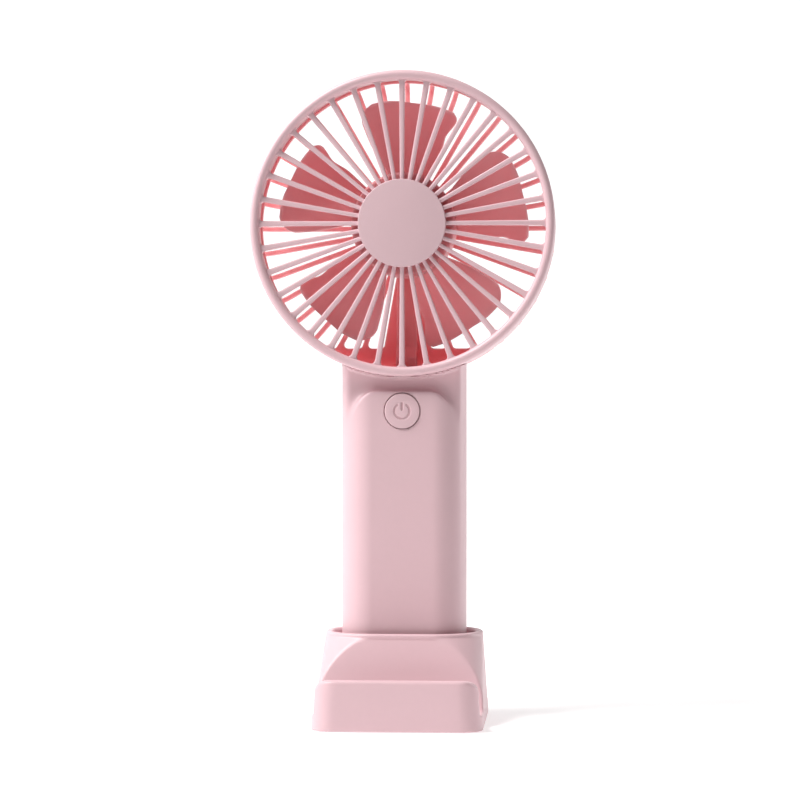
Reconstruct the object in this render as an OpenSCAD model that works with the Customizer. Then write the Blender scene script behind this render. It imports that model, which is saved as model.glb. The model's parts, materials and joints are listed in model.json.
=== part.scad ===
// Hand-held electric fan standing in its desk dock.
// +Z is up and the front of the fan faces -Y.
// The origin is on the table, under the middle of the dock.

/* [Head] */
// Outer radius of the head
head_r = 50; // [42:0.5:60]
// Depth of the head, from its ring to the back of its guard
head_d = 32; // [30:0.5:38]
// How far the head stands in front of the grip
head_lead = 3; // [2:0.5:6]
// Depth of the drum round the head
drum_d = 15; // [13:0.5:18]
// Wall of the drum
drum_wall = 1.2; // [1:0.1:2]
// Width of the ring round the front guard
ring_w = 3; // [2.5:0.1:4]
// Ribs in each guard
rib_count = 36; // [24:2:40]
// Width of a front rib at the ring
rib_w = 1.8; // [1.2:0.1:2.2]
// Width of a front rib at the disc
rib_tip_w = 1.3; // [1:0.1:1.5]
// Depth of a front rib
rib_d = 2.5; // [2:0.1:3]
// How far the ring stands in front of the ribs
ring_proud = 1.5; // [0.5:0.1:2.5]
// Radius of the disc on the front guard
disc_r = 14.4; // [12:0.1:18]
// Thickness of the disc
disc_t = 1.4; // [1:0.1:2]
// Width of a rear rib
rear_rib_w = 1.5; // [1:0.1:2]
// Thickness of the rear guard's back
guard_t = 2; // [1.5:0.1:2.5]
// Radius of the rear guard's outer corner
guard_corner_r = 6; // [4:0.5:8]
// Height of the closed web at the bottom of the rear guard
web_h = 10; // [6:0.5:14]
// Angle of the closed spine that holds the motor leads
spine_angle = 20; // [16:1:30]

/* [Impeller] */
// Number of blades
blade_count = 5; // [3:1:7]
// Radius of the blade tips
blade_r = 40.6; // [34:0.1:45]
// Angle that a blade covers, seen from the front
blade_angle = 46; // [30:1:50]
// Pitch of the blades
blade_pitch = 24; // [15:1:30]
// Angle of the first blade from straight up
blade_phase = 2.3; // [-36:0.1:36]
// Thickness of a blade
blade_t = 1.6; // [1.2:0.1:2]
// Radius of the impeller's hub
hub_r = 17.3; // [17.1:0.1:20]
// Length of the impeller's hub
hub_len = 14; // [12:0.5:15]

/* [Motor] */
// Radius of the motor can
motor_r = 12.2; // [11.5:0.1:12.4]
// Length of the motor can
motor_len = 12.4; // [12:0.1:13]
// Radius of the motor shaft
shaft_r = 1; // [0.8:0.1:1.2]
// Clearance of the shaft in its bushes
shaft_gap = 0.03; // [0.02:0.01:0.08]

/* [Grip] */
// Width of the grip
grip_w = 41; // [38:0.5:50]
// Depth of the grip
grip_d = 25; // [24:0.5:30]
// Corner radius of the grip
grip_corner_r = 10.5; // [8:0.5:11.5]
// Height of the grip, from its base to the underside of the drum
grip_h = 104.7; // [100:0.5:126]
// Wall of the two shells
wall = 1.8; // [1.4:0.1:2.2]
// Depth of the recessed neck
neck_step = 4; // [2:0.5:5]
// Width of the raised face
face_w = 37; // [33:0.5:41]
// Corner radius at the top of the raised face
face_corner_r = 12; // [8:0.5:16]
// Distance from the underside of the drum to the top of the raised face
face_drop = 4.8; // [3:0.1:8]

/* [Button] */
// Radius of the power button
button_r = 5.75; // [5:0.05:7]
// Gap round the power button
button_gap = 0.2; // [0.15:0.05:0.6]
// Travel of the power button
button_travel = 0.5; // [0.3:0.1:0.8]
// Distance from the top of the raised face to the middle of the button
button_drop = 6.6; // [6.6:0.1:14]
// How far the power button stands proud of the raised face
button_proud = 0.4; // [0:0.1:0.8]

/* [Battery and board] */
// Radius of the battery cell
cell_r = 9.1; // [7:0.05:9.1]
// Length of the battery cell
cell_len = 65; // [50:1:65]
// Width of the circuit board
board_w = 22; // [20:0.5:22]
// Height of the circuit board
board_h = 28.5; // [26:0.5:30]
// Thickness of the circuit board
board_t = 1.2; // [0.8:0.1:1.6]
// Width of the USB socket's shell
usb_w = 8.9; // [8.9:0.1:9.2]
// Height of the USB socket's shell
usb_h = 3.2; // [3.2:0.1:3.4]

/* [Dock] */
// Height of the dock's rim above the table
rim_h = 28.8; // [24:0.2:36]
// Height of the socket's floor above the table
socket_floor = 8; // [7:0.5:12]
// Gap between the grip and the socket at the rim
socket_gap = 3; // [2:0.1:4]
// Width of the dock's rim
rim_w = 2.5; // [2:0.1:4]
// Plan corner radius of the rim
rim_corner_r = 17; // [14:0.5:18]
// Height of the front lip
lip_h = 16.2; // [12:0.2:20]
// Thickness of the front lip
lip_t = 5; // [4:0.5:7]
// Width of the phone slot at its floor
slot_w = 11.4; // [9:0.2:14]
// Height of the phone slot's floor above the table
slot_floor = 5; // [4.5:0.1:7]
// How far the phone rest leans back from its foot to the rim
rest_run = 9.6; // [5:0.2:12]
// How much wider the dock's base is than its rim, on each side
base_flare = 1.5; // [0.5:0.1:3]
// Plan corner radius of the dock's base
base_corner_r = 7.5; // [6:0.5:12]
// Radius of a rubber foot
foot_r = 4.5; // [3.5:0.1:6]

/* [Hidden] */
$fn = 48;

// Colours
BODY_PINK = [0.93, 0.76, 0.77];
CORAL = [0.86, 0.40, 0.42];
STEEL = [0.70, 0.71, 0.72];
DARK = [0.15, 0.15, 0.16];
BRONZE = [0.66, 0.48, 0.30];
COPPER = [0.80, 0.45, 0.25];
BOARD_GREEN = [0.10, 0.35, 0.22];

// Small clearances
EPS = 0.01;
FIT = 0.05;
SLIP = 0.3;
MOVING = 0.4;

WIRE_SIDES = 8;

// Dock
tower_w = grip_w + 2 * (socket_gap + rim_w);
tower_d = grip_d + 2 * (socket_gap + rim_w);
dock_w = tower_w + 2 * base_flare;
dock_d = lip_t + slot_w + rest_run + tower_d;
dock_back = dock_d / 2;
dock_front = -dock_d / 2;
tower_front = dock_back - tower_d;
lip_back = dock_front + lip_t;
rest_foot = lip_back + slot_w;
rim_band = 1.6;
rest_top = rim_h - rim_band;
rest_ledge = 0.4;
foot_out = 0.3;
foot_sink = 0.4;
foot_h = foot_out + foot_sink;
plate_t = 1.8;
plate_top = foot_out + 0.2 + plate_t;
plate_inset = 2.2;
socket_floor_t = 2;
lip_corner_r = 6;
guide_t = 1.6;
guide_h = 14;
dock_screw_r = 1;
dock_screw_head_r = 1.9;
dock_screw_head_h = 1.2;
dock_post_r = 2.6;
foot_x = dock_w / 2 - foot_r - 4;
foot_y = dock_d / 2 - foot_r - 3.5;
dock_screw_x = foot_x - foot_r - dock_screw_head_r - 1.5;
dock_screw_front = tower_front - 2;
dock_screw_back = dock_back - 7;

// Grip
grip_y = dock_back - tower_d / 2;
grip_front = grip_y - grip_d / 2;
grip_back = grip_y + grip_d / 2;
rest_gap = 0.1;
grip_base = socket_floor + rest_gap;
head_z = grip_base + grip_h + head_r;
floor_top = grip_base + wall;
neck_front = grip_front + neck_step;
face_top = grip_base + grip_h - face_drop;
step_wall = 1;
post_x = grip_w / 2 - 5.9;
post_r = 2.6;
back_post_r = 3.1;
shell_screw_r = 1;
shell_screw_head_r = 1.9;
shell_screw_head_h = 1.5;
shell_screw_seat = grip_back - 5.5;
shell_screw_len = 10;
low_screw_z = grip_base + 12;
high_screw_z = face_top - 13;

// Head
ring_front = grip_front - head_lead;
rib_front = ring_front + ring_proud;
rib_back = rib_front + rib_d;
ring_back = ring_front + 5.5;
ring_r = head_r - ring_w;
spigot_back = ring_back + 1.4;
drum_back = ring_back + drum_d;
guard_back = ring_front + head_d;
guard_front = guard_back - guard_t;
guard_lip = 0.8;
drum_bore_r = head_r - drum_wall;
disc_front = rib_front - 1.1;
disc_back = disc_front + disc_t;
disc_stub_r = 4;

// Impeller and motor
hub_front = rib_back + 2.7;
hub_back = hub_front + hub_len;
hub_wall = 1.4;
boss_r = 3;
blade_mid = (hub_front + hub_back) / 2 + 0.5;
cup_gap = FIT;
cup_wall = 1.6;
cup_r = motor_r + cup_gap + cup_wall;
motor_back = guard_front - 1.4;
motor_front = motor_back - motor_len;
can_t = 0.8;
nose_r = 3;
nose_len = 1.2;
bush_r = 2.3;
bush_len = 2.4;
retainer_t = 1;
motor_screw_ring_r = motor_r + 1.5;
motor_screw_r = 0.7;
motor_screw_head_r = 1.2;
motor_screw_head_h = 0.8;
ear_r = 1.5;
cap_t = 1.8;
magnet_t = 1.9;
magnet_back = motor_back - cap_t - 0.5;
magnet_front = motor_front + can_t + 0.8;
core_r = motor_r - can_t - magnet_t - FIT - MOVING;
core_d = 4.4;
core_mid = (magnet_front + magnet_back) / 2 - 0.4;
core_front = core_mid - core_d / 2;
core_back = core_mid + core_d / 2;
core_hub_r = 3.4;
core_shoe_t = 1.6;
core_arm_w = 2.6;
winding_over = 0.9;
winding_w = 4.6;
winding_out = sqrt(pow(core_r - core_shoe_t, 2) - pow(winding_w / 2, 2)) - FIT;
commutator_r = 2.2;
commutator_front = core_back + winding_over + 0.3;
cap_front = motor_back - cap_t;
commutator_back = cap_front - 0.1;

// Ducted leads
lead_r = 0.5;
lead_x = 1;
duct_w = 4.4;
duct_wall = 1.2;
duct_front = guard_front - 2.4;
duct_low_front = max(duct_front - 3.8, drum_back + duct_wall);
duct_turn = head_r - 9;

// Button, switch and board
button_z = face_top - button_drop;
board_front = grip_y;
board_back = board_front + board_t;
board_top = face_top + 1.3;
board_bottom = board_top - board_h;
board_post_x = board_w / 2 - 2.6;
board_post_r = 2.2;
board_screw_r = 0.8;
board_screw_head_r = 1.6;
board_screw_head_h = 1;
board_screw_spots = [[-board_post_x, board_top - 2.6], [board_post_x, board_bottom + 2.6]];
switch_w = 6;
switch_d = 3.5;
plunger_r = 1.7;
plunger_tip = board_front - switch_d - 1.5;
button_skin = wall + 0.1;
flange_t = 0.8;
flange_over = 1;
flange_top = face_top - step_wall - 0.15;
usb_z = board_bottom + 7;
usb_mouth = grip_back - 0.6;
usb_t = 0.3;

// Battery
cell_bottom = floor_top + 2.4;
cell_top = cell_bottom + cell_len;
sleeve_t = 0.12;
sleeve_r = cell_r + sleeve_t;
pad_t = 1.2;
cradle_r = sleeve_r + 0.2;
cradle_t = 1.6;
cradle_spots = [cell_bottom + 14, cell_bottom + cell_len - 14];

// Facing plane (X, Z) drawn in 2D and extruded along Y
module facing(y0, y1) {
    translate([0, y1, 0])
    rotate([90, 0, 0])
    linear_extrude(y1 - y0)
    children();
}

// Side plane (Y, Z) drawn in 2D and extruded along X
module sideways(x0, x1) {
    translate([x0, 0, 0])
    rotate([90, 0, 90])
    linear_extrude(x1 - x0)
    children();
}

// Head axis: 2D (X, Z) measured from the middle of the head
module on_head(y0, y1) {
    translate([0, 0, head_z])
    facing(y0, y1)
    children();
}

// Head axis: 2D (radius, Y) turned about the middle of the head
module turned() {
    translate([0, 0, head_z])
    rotate([-90, 0, 0])
    rotate_extrude()
    children();
}

// A rectangle of the profile for turned()
module band(r0, r1, y0, y1) {
    translate([r0, y0])
    square([r1 - r0, y1 - y0]);
}

// A round bar or hole along Y
module along_y(x, z, r, y0, y1) {
    translate([x, y0, z])
    rotate([-90, 0, 0])
    cylinder(r = r, h = y1 - y0);
}

module rounded(w, d, r) {
    square([w - 2 * r, d], center = true);
    square([w, d - 2 * r], center = true);
    for (x = [-1, 1], y = [-1, 1])
        translate([x * (w / 2 - r), y * (d / 2 - r)])
        circle(r);
}

module wedge(half_angle, reach) {
    polygon([[0, 0], [-reach * sin(half_angle), -reach * cos(half_angle)],
             [reach * sin(half_angle), -reach * cos(half_angle)]]);
}

function unit(v) = v / norm(v);

// Direction of a wire at one of its points
function heading(points, i) =
    unit(points[min(i + 1, len(points) - 1)] - points[max(i - 1, 0)]);

// One ring of the wire's skin, square to its direction
function wire_ring(points, i, r) =
    let (along = heading(points, i), side = unit(cross(along, [1, 0, 0])), up = cross(along, side))
    [for (k = [0 : WIRE_SIDES - 1])
        points[i] + r * (cos(k * 360 / WIRE_SIDES) * side + sin(k * 360 / WIRE_SIDES) * up)];

// A wire along a row of points
module wire(points, r) {
    n = len(points);
    skin = [for (i = [0 : n - 1]) each wire_ring(points, i, r)];
    walls = [for (i = [0 : n - 2], k = [0 : WIRE_SIDES - 1])
        let (a = i * WIRE_SIDES, b = (k + 1) % WIRE_SIDES)
        each [[a + k, a + WIRE_SIDES + k, a + b], [a + b, a + WIRE_SIDES + k, a + WIRE_SIDES + b]]];
    start = [for (k = [0 : WIRE_SIDES - 1]) k];
    finish = [for (k = [WIRE_SIDES - 1 : -1 : 0]) (n - 1) * WIRE_SIDES + k];
    polyhedron(points = skin, faces = concat([start], walls, [finish]));
}

/* ---- Dock ---- */

module plan_slice(z, w, y0, y1, r) {
    translate([0, (y0 + y1) / 2, z])
    linear_extrude(EPS)
    rounded(w, y1 - y0, r);
}

module lip_outline() {
    translate([-dock_w, -dock_w])
    square([2 * dock_w, dock_w + lip_h - lip_corner_r]);
    translate([-dock_w / 2 + lip_corner_r, 0])
    square([dock_w - 2 * lip_corner_r, lip_h]);
    for (x = [-1, 1])
        translate([x * (dock_w / 2 - lip_corner_r), lip_h - lip_corner_r])
        circle(lip_corner_r);
}

// Half-width lost to the flare at a given height
function flare_at(z) = base_flare * (z - foot_out) / (rim_h - foot_out);

module base_slice() {
    plan_slice(foot_out, dock_w, dock_front, dock_back, base_corner_r);
}

module dock_outer() {
    // Tower, sloping down to the front
    hull() {
        base_slice();
        for (z = [rest_top + rest_ledge, rim_h - EPS])
            plan_slice(z, tower_w, tower_front, dock_back, rim_corner_r);
    }
    // Lip and slot floor
    intersection() {
        hull() {
            base_slice();
            plan_slice(lip_h, dock_w - 2 * flare_at(lip_h), dock_front, dock_back, base_corner_r);
        }
        facing(-dock_d, rest_foot) lip_outline();
    }
}

module phone_slot() {
    sideways(-dock_w, dock_w)
    polygon([[lip_back, 2 * rim_h], [lip_back, slot_floor], [rest_foot, slot_floor],
             [tower_front, rest_top], [tower_front - rim_h, rest_top],
             [tower_front - rim_h, 2 * rim_h]]);
}

module guide_ribs() {
    gap = socket_gap - MOVING;
    for (side = [-1, 1])
        translate([side * (grip_w / 2 + MOVING + gap / 2), grip_y, socket_floor - EPS + guide_h / 2])
        cube([gap + EPS, guide_t, guide_h], center = true);
    for (side = [-1, 1], end = [-1, 1])
        translate([side * 7, grip_y + end * (grip_d / 2 + MOVING + gap / 2), socket_floor + guide_h / 2])
        cube([guide_t, gap + EPS, guide_h], center = true);
}

module dock_posts() {
    for (x = [-1, 1], y = [dock_screw_front, dock_screw_back])
        translate([x * dock_screw_x, y, plate_top])
        cylinder(r = dock_post_r, h = socket_floor - plate_top - EPS);
}

module dock_body() {
    color(BODY_PINK)
    difference() {
        union() {
            difference() {
                dock_outer();
                phone_slot();
                // Socket for the grip
                translate([0, grip_y, socket_floor])
                linear_extrude(rim_h)
                rounded(grip_w + 2 * socket_gap, grip_d + 2 * socket_gap, grip_corner_r + socket_gap);
                // Hollow under the slot and the socket
                translate([0, 0, -EPS])
                linear_extrude(plate_top + EPS)
                rounded(dock_w - 2 * plate_inset, dock_d - 2 * plate_inset, base_corner_r - plate_inset);
                translate([0, grip_y, 0])
                linear_extrude(socket_floor - socket_floor_t)
                rounded(tower_w - 2 * rim_w, tower_d - 2 * rim_w, rim_corner_r - rim_w);
                // Hollow behind the phone rest
                sideways(-tower_w / 2 + 6, tower_w / 2 - 6)
                polygon([[rest_foot + 2.5, 0], [tower_front - 0.5, 0],
                         [tower_front - 0.5, slot_floor + 0.5 * (rest_top - slot_floor)]]);
            }
            guide_ribs();
            dock_posts();
        }
        for (x = [-1, 1], y = [dock_screw_front, dock_screw_back])
            translate([x * dock_screw_x, y, 0])
            cylinder(r = dock_screw_r, h = socket_floor - 1);
    }
}

module dock_base_plate() {
    plate_bottom = plate_top - plate_t;
    color(BODY_PINK)
    difference() {
        translate([0, 0, plate_bottom])
        linear_extrude(plate_t)
        rounded(dock_w - 2 * plate_inset - 2 * FIT, dock_d - 2 * plate_inset - 2 * FIT,
                base_corner_r - plate_inset - FIT);
        for (x = [-1, 1], y = [dock_screw_front, dock_screw_back])
            translate([x * dock_screw_x, y, 0]) {
                cylinder(r = dock_screw_r, h = 2 * plate_top);
                cylinder(r = dock_screw_head_r, h = plate_bottom + dock_screw_head_h);
            }
        for (x = [-1, 1], y = [-1, 1])
            translate([x * foot_x, y * foot_y, 0])
            cylinder(r = foot_r, h = foot_h);
    }
}

module dock_feet() {
    color(DARK)
    for (x = [-1, 1], y = [-1, 1])
        translate([x * foot_x, y * foot_y, 0])
        cylinder(r = foot_r, h = foot_h);
}

module dock_screws() {
    head_z0 = plate_top - plate_t;
    color(STEEL)
    for (x = [-1, 1], y = [dock_screw_front, dock_screw_back])
        translate([x * dock_screw_x, y, 0])
        difference() {
            union() {
                translate([0, 0, head_z0])
                cylinder(r = dock_screw_head_r, h = dock_screw_head_h);
                translate([0, 0, head_z0])
                cylinder(r = dock_screw_r, h = socket_floor - 1.4 - head_z0);
            }
            translate([0, 0, head_z0]) {
                cube([2, 0.5, 1], center = true);
                cube([0.5, 2, 1], center = true);
            }
        }
}

/* ---- Grip ---- */

module grip_half(side) {
    intersection() {
        rounded(grip_w, grip_d, grip_corner_r);
        translate([-grip_w, side > 0 ? 0 : -grip_d])
        square([2 * grip_w, grip_d]);
    }
}

module grip_hollow() {
    translate([0, grip_y, floor_top])
    linear_extrude(head_z)
    rounded(grip_w - 2 * wall, grip_d - 2 * wall, grip_corner_r - wall);
}

// The raised face's outline, drawn smaller by the given margin
module face_outline(margin) {
    half = face_w / 2 - margin;
    r = face_corner_r - margin;
    top = face_top - margin;
    translate([-half, 0])
    square([2 * half, top - r]);
    translate([-half + r, 0])
    square([2 * (half - r), top]);
    for (x = [-1, 1])
        translate([x * (half - r), top - r])
        circle(r);
}

// Everything above the raised face, cut back to the neck
module neck_cut(margin, depth) {
    facing(grip_front - head_d, depth)
    difference() {
        translate([-grip_w, face_top - face_corner_r])
        square([2 * grip_w, head_r + grip_h]);
        face_outline(margin);
    }
}

module shell_posts(y0, y1, r) {
    for (x = [-1, 1], z = [low_screw_z, high_screw_z])
        along_y(x * post_x, z, r, y0, y1);
}

module cradles(side) {
    for (z = cradle_spots)
        translate([0, grip_y, z])
        linear_extrude(cradle_t)
        difference() {
            intersection() {
                rounded(grip_w - 2 * wall + 2 * EPS, grip_d - 2 * wall + 2 * EPS, grip_corner_r - wall);
                translate([-grip_w, side > 0 ? 0 : -grip_d])
                square([2 * grip_w, grip_d]);
            }
            circle(cradle_r);
        }
}

module front_shell() {
    color(BODY_PINK)
    difference() {
        union() {
            difference() {
                translate([0, grip_y, grip_base])
                linear_extrude(head_z - grip_base)
                grip_half(-1);
                difference() {
                    grip_hollow();
                    neck_cut(step_wall, neck_front + wall);
                }
                neck_cut(0, neck_front);
            }
            intersection() {
                union() {
                    shell_posts(grip_front + 0.6, grip_y, post_r);
                    for (p = board_screw_spots)
                        along_y(p[0], p[1], board_post_r, grip_front + 0.6, board_front);
                }
                translate([0, grip_y, grip_base])
                linear_extrude(head_z)
                rounded(grip_w - wall, grip_d - wall, grip_corner_r - wall / 2);
            }
            cradles(-1);
        }
        // Posts stop at the neck's face
        neck_cut(0, neck_front);
        // Button hole
        along_y(0, button_z, button_r + button_gap, grip_front - 1, neck_front + EPS);
        // Screw holes
        shell_posts(shell_screw_seat - shell_screw_len, grip_y + 1, shell_screw_r);
        for (p = board_screw_spots)
            along_y(p[0], p[1], board_screw_r, board_front - 5, board_front + 1);
        // Seat under the drum
        turned() band(0, head_r + FIT, grip_front - head_d, grip_back);
    }
}

module stadium(w, h) {
    square([w - h, h], center = true);
    for (x = [-1, 1])
        translate([x * (w - h) / 2, 0])
        circle(h / 2);
}

module rear_shell() {
    color(BODY_PINK)
    difference() {
        union() {
            difference() {
                translate([0, grip_y, grip_base])
                linear_extrude(head_z - grip_base)
                grip_half(1);
                grip_hollow();
            }
            intersection() {
                shell_posts(grip_y, grip_back, back_post_r);
                translate([0, grip_y, grip_base])
                linear_extrude(head_z)
                rounded(grip_w - wall, grip_d - wall, grip_corner_r - wall / 2);
            }
            cradles(1);
            turned() band(0, head_r, ring_back, drum_back);
        }
        turned() band(0, drum_bore_r, ring_back - 1, drum_back + EPS);
        turned() band(0, head_r + FIT, drum_back, dock_d);
        // Shell screws, from the back
        shell_posts(grip_y - 1, shell_screw_seat + EPS, shell_screw_r);
        shell_posts(shell_screw_seat, grip_back + 1, shell_screw_head_r + 0.2);
        // USB mouth
        translate([0, 0, usb_z])
        facing(grip_back - 3 * wall, grip_back + 1)
        stadium(usb_w + 0.6, usb_h + 0.6);
    }
}

module shell_screws() {
    color(STEEL)
    for (x = [-1, 1], z = [low_screw_z, high_screw_z])
        difference() {
            union() {
                along_y(x * post_x, z, shell_screw_head_r,
                        shell_screw_seat, shell_screw_seat + shell_screw_head_h);
                along_y(x * post_x, z, shell_screw_r,
                        shell_screw_seat - shell_screw_len + 0.5, shell_screw_seat + 1);
            }
            translate([x * post_x, shell_screw_seat + shell_screw_head_h, z]) {
                cube([2.2, 1.4, 0.5], center = true);
                cube([0.5, 1.4, 2.2], center = true);
            }
        }
}

/* ---- Head ---- */

module guard_profile() {
    inner_corner_r = guard_corner_r - guard_t;
    difference() {
        union() {
            band(0, head_r, drum_back, guard_back - guard_corner_r);
            band(0, head_r - guard_corner_r, drum_back, guard_back);
            translate([head_r - guard_corner_r, guard_back - guard_corner_r])
            circle(guard_corner_r);
        }
        band(0, drum_bore_r, drum_back - 1, guard_front - inner_corner_r);
        band(0, drum_bore_r - inner_corner_r, drum_back - 1, guard_front);
        translate([drum_bore_r - inner_corner_r, guard_front - inner_corner_r])
        circle(inner_corner_r);
        // Only the half plane right of the axis is turned
        translate([-4 * head_r, -head_r])
        square([4 * head_r, 4 * head_r]);
    }
}

module guard_plan() {
    for (i = [0 : rib_count - 1])
        rotate(i * 360 / rib_count)
        translate([-rear_rib_w / 2, 0])
        square([rear_rib_w, head_r + 1]);
    circle(cup_r + 0.8);
    wedge(spine_angle / 2, head_r + 2);
    intersection() {
        circle(head_r + 1);
        translate([-head_r, -2 * head_r])
        square([2 * head_r, head_r + web_h]);
    }
}

module lead_duct(width, margin, depth) {
    translate([-width / 2, 0, head_z - duct_turn - 1])
    translate([0, duct_front - margin, 0])
    cube([width, guard_front - duct_front + margin + depth, duct_turn - cup_r + 2]);
    translate([-width / 2, duct_low_front - margin, head_z - head_r + drum_wall / 2])
    cube([width, guard_front - duct_low_front + margin + depth, head_r - duct_turn + 1]);
}

module rear_guard() {
    color(CORAL)
    difference() {
        union() {
            intersection() {
                turned() guard_profile();
                on_head(drum_back, guard_back) guard_plan();
            }
            turned() band(drum_bore_r - guard_lip, head_r, drum_back, drum_back + 1.6);
            turned() band(0, cup_r, motor_front + 1, guard_front + EPS);
            for (side = [-1, 1])
                translate([0, 0, head_z])
                along_y(side * motor_screw_ring_r, 0, ear_r, motor_front, guard_front + EPS);
            lead_duct(duct_w + 2 * duct_wall, duct_wall, EPS);
        }
        turned() band(0, motor_r + cup_gap, motor_front - 1, guard_front);
        for (side = [-1, 1])
            translate([0, 0, head_z])
            along_y(side * motor_screw_ring_r, 0, motor_screw_r, motor_front - 1, motor_front + 5);
        lead_duct(duct_w, 0, 0);
        // Leads pass into the motor cup at the top and into the grip at the bottom
        translate([-duct_w / 2, duct_front, head_z - cup_r - 2])
        cube([duct_w, guard_front - duct_front, 5]);
        translate([-duct_w / 2, duct_low_front, head_z - head_r - 1])
        cube([duct_w, 3.4, 4]);
    }
}

module front_guard() {
    bead_r = ring_w / 2;
    color(BODY_PINK)
    difference() {
        union() {
            turned() {
                translate([ring_r + bead_r, ring_front + bead_r])
                circle(bead_r);
                band(ring_r, head_r, ring_front + bead_r, ring_back - FIT);
                band(ring_r, drum_bore_r - SLIP, ring_back - 1, spigot_back);
            }
            on_head(rib_front, rib_back) {
                for (i = [0 : rib_count - 1])
                    rotate(i * 360 / rib_count)
                    polygon([[-rib_tip_w / 2, disc_r / 2], [rib_tip_w / 2, disc_r / 2],
                             [rib_w / 2, ring_r + 0.5], [-rib_w / 2, ring_r + 0.5]]);
                circle(disc_r - 0.4);
            }
        }
        turned() band(0, disc_stub_r, rib_front - 1, rib_front + 1.2);
        turned() band(0, disc_r + FIT, rib_front - 2, disc_back);
    }
}

module guard_disc() {
    color(BODY_PINK)
    turned() {
        band(0, disc_r, disc_front, disc_back);
        band(0, disc_stub_r, disc_back - EPS, rib_front + 1.2);
    }
}

/* ---- Impeller ---- */

module blade_outline() {
    corner_r = 5;
    half = blade_angle / 2;
    inset = asin(corner_r / (blade_r - corner_r));
    tip = [for (a = [-half + inset : (2 * half - 2 * inset) / 8 : half - inset + EPS])
           blade_r * [sin(a), cos(a)]];
    corner = (blade_r - corner_r) * [sin(half - inset), cos(half - inset)];
    right = [for (a = [15 : 15 : 75]) corner + corner_r * [cos(90 - half + inset - a), sin(90 - half + inset - a)]];
    left = [for (i = [len(right) - 1 : -1 : 0]) [-right[i][0], right[i][1]]];
    foot = (hub_r - 0.7) * [sin(half), cos(half)];
    polygon(concat(left, tip, right, [[foot[0], foot[1]], [-foot[0], foot[1]]]));
}

module impeller() {
    color(CORAL)
    difference() {
        union() {
            for (i = [0 : blade_count - 1])
                translate([0, 0, head_z])
                rotate([0, blade_phase + i * 360 / blade_count, 0])
                intersection() {
                    facing(hub_front + 1, hub_back) blade_outline();
                    translate([0, blade_mid, 0])
                    rotate([0, 0, blade_pitch])
                    translate([0, 0, blade_r / 2 + hub_r / 2])
                    cube([3 * hub_r, blade_t, blade_r], center = true);
                }
            turned() band(hub_r - hub_wall, hub_r, hub_front + hub_wall, hub_back);
            turned() band(0, hub_r, hub_front, hub_front + hub_wall);
            turned() band(0, boss_r, hub_front, motor_front - nose_len - 0.6);
        }
        turned() band(0, shaft_r, hub_front + 1, motor_front);
        turned() band(boss_r, hub_r - hub_wall, hub_front + hub_wall, hub_back + 1);
    }
}

/* ---- Motor ---- */

module motor_can() {
    color(STEEL)
    turned()
    difference() {
        union() {
            band(0, motor_r, motor_front, motor_back - 0.4);
            band(0, nose_r, motor_front - nose_len, motor_front);
        }
        band(-1, motor_r - can_t, motor_front + can_t, motor_back);
        band(-1, bush_r, motor_front - 2 * nose_len, motor_front + 2 * can_t);
    }
}

module motor_end_cap() {
    color(DARK)
    turned()
    difference() {
        band(0, motor_r - can_t - FIT, cap_front, motor_back);
        band(-1, bush_r, cap_front - 1, motor_back + 1);
    }
}

module motor_bushes() {
    color(BRONZE)
    turned() {
        band(shaft_r + shaft_gap, bush_r, motor_front - nose_len, motor_front - nose_len + bush_len);
        band(shaft_r + shaft_gap, bush_r, cap_front, motor_back);
    }
}

module motor_magnets() {
    outer = motor_r - can_t - FIT;
    color(DARK)
    on_head(magnet_front, magnet_back)
    difference() {
        circle(outer);
        circle(outer - magnet_t);
        for (side = [0, 180])
            rotate(side)
            wedge(25, 2 * outer);
    }
}

module motor_brushes() {
    color(COPPER)
    for (side = [-1, 1]) {
        translate([side * (commutator_r + FIT + 1.6) - 1.6, commutator_front + 0.2, head_z - 0.8])
        cube([3.2, cap_front - commutator_front - 0.2, 1.6]);
        translate([side * (commutator_r + FIT + 2.4) - 0.8, motor_back, head_z - 2])
        cube([1.6, 1.2, 4]);
    }
}

module motor_shaft() {
    color(STEEL)
    turned() band(0, shaft_r, hub_front + 1, motor_back + 0.6);
}

module rotor_core() {
    color(STEEL)
    difference() {
        union() {
            on_head(core_front, core_back) {
                circle(core_hub_r);
                difference() {
                    circle(core_r);
                    circle(core_r - core_shoe_t);
                    for (i = [0 : 2])
                        rotate(60 + i * 120)
                        translate([-0.8, 0])
                        square([1.6, 2 * core_r]);
                }
                for (i = [0 : 2])
                    rotate(i * 120)
                    translate([-core_arm_w / 2, 0])
                    square([core_arm_w, core_r - 1]);
            }
        }
        turned() band(0, shaft_r, core_front - 1, core_back + 1);
    }
}

module rotor_windings() {
    color(COPPER)
    for (i = [0 : 2])
        translate([0, core_mid, head_z])
        rotate([0, i * 120, 0])
        difference() {
            translate([-winding_w / 2, -core_d / 2 - winding_over, core_hub_r + 0.3])
            cube([winding_w, core_d + 2 * winding_over, winding_out - core_hub_r - 0.3]);
            translate([-core_arm_w / 2, -core_d / 2, 0])
            cube([core_arm_w, core_d, 2 * core_r]);
        }
}

module commutator() {
    color(COPPER)
    turned() band(shaft_r, commutator_r, commutator_front, commutator_back);
}

module motor_retainer() {
    color(BODY_PINK)
    difference() {
        on_head(motor_front - retainer_t, motor_front) {
            circle(motor_r + 1);
            for (side = [-1, 1])
                translate([side * motor_screw_ring_r, 0])
                circle(ear_r);
        }
        turned() band(0, 7, motor_front - 3, motor_front + 1);
        translate([0, 0, head_z])
        for (side = [-1, 1])
            along_y(side * motor_screw_ring_r, 0, motor_screw_r, motor_front - 3, motor_front + 1);
    }
}

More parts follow.
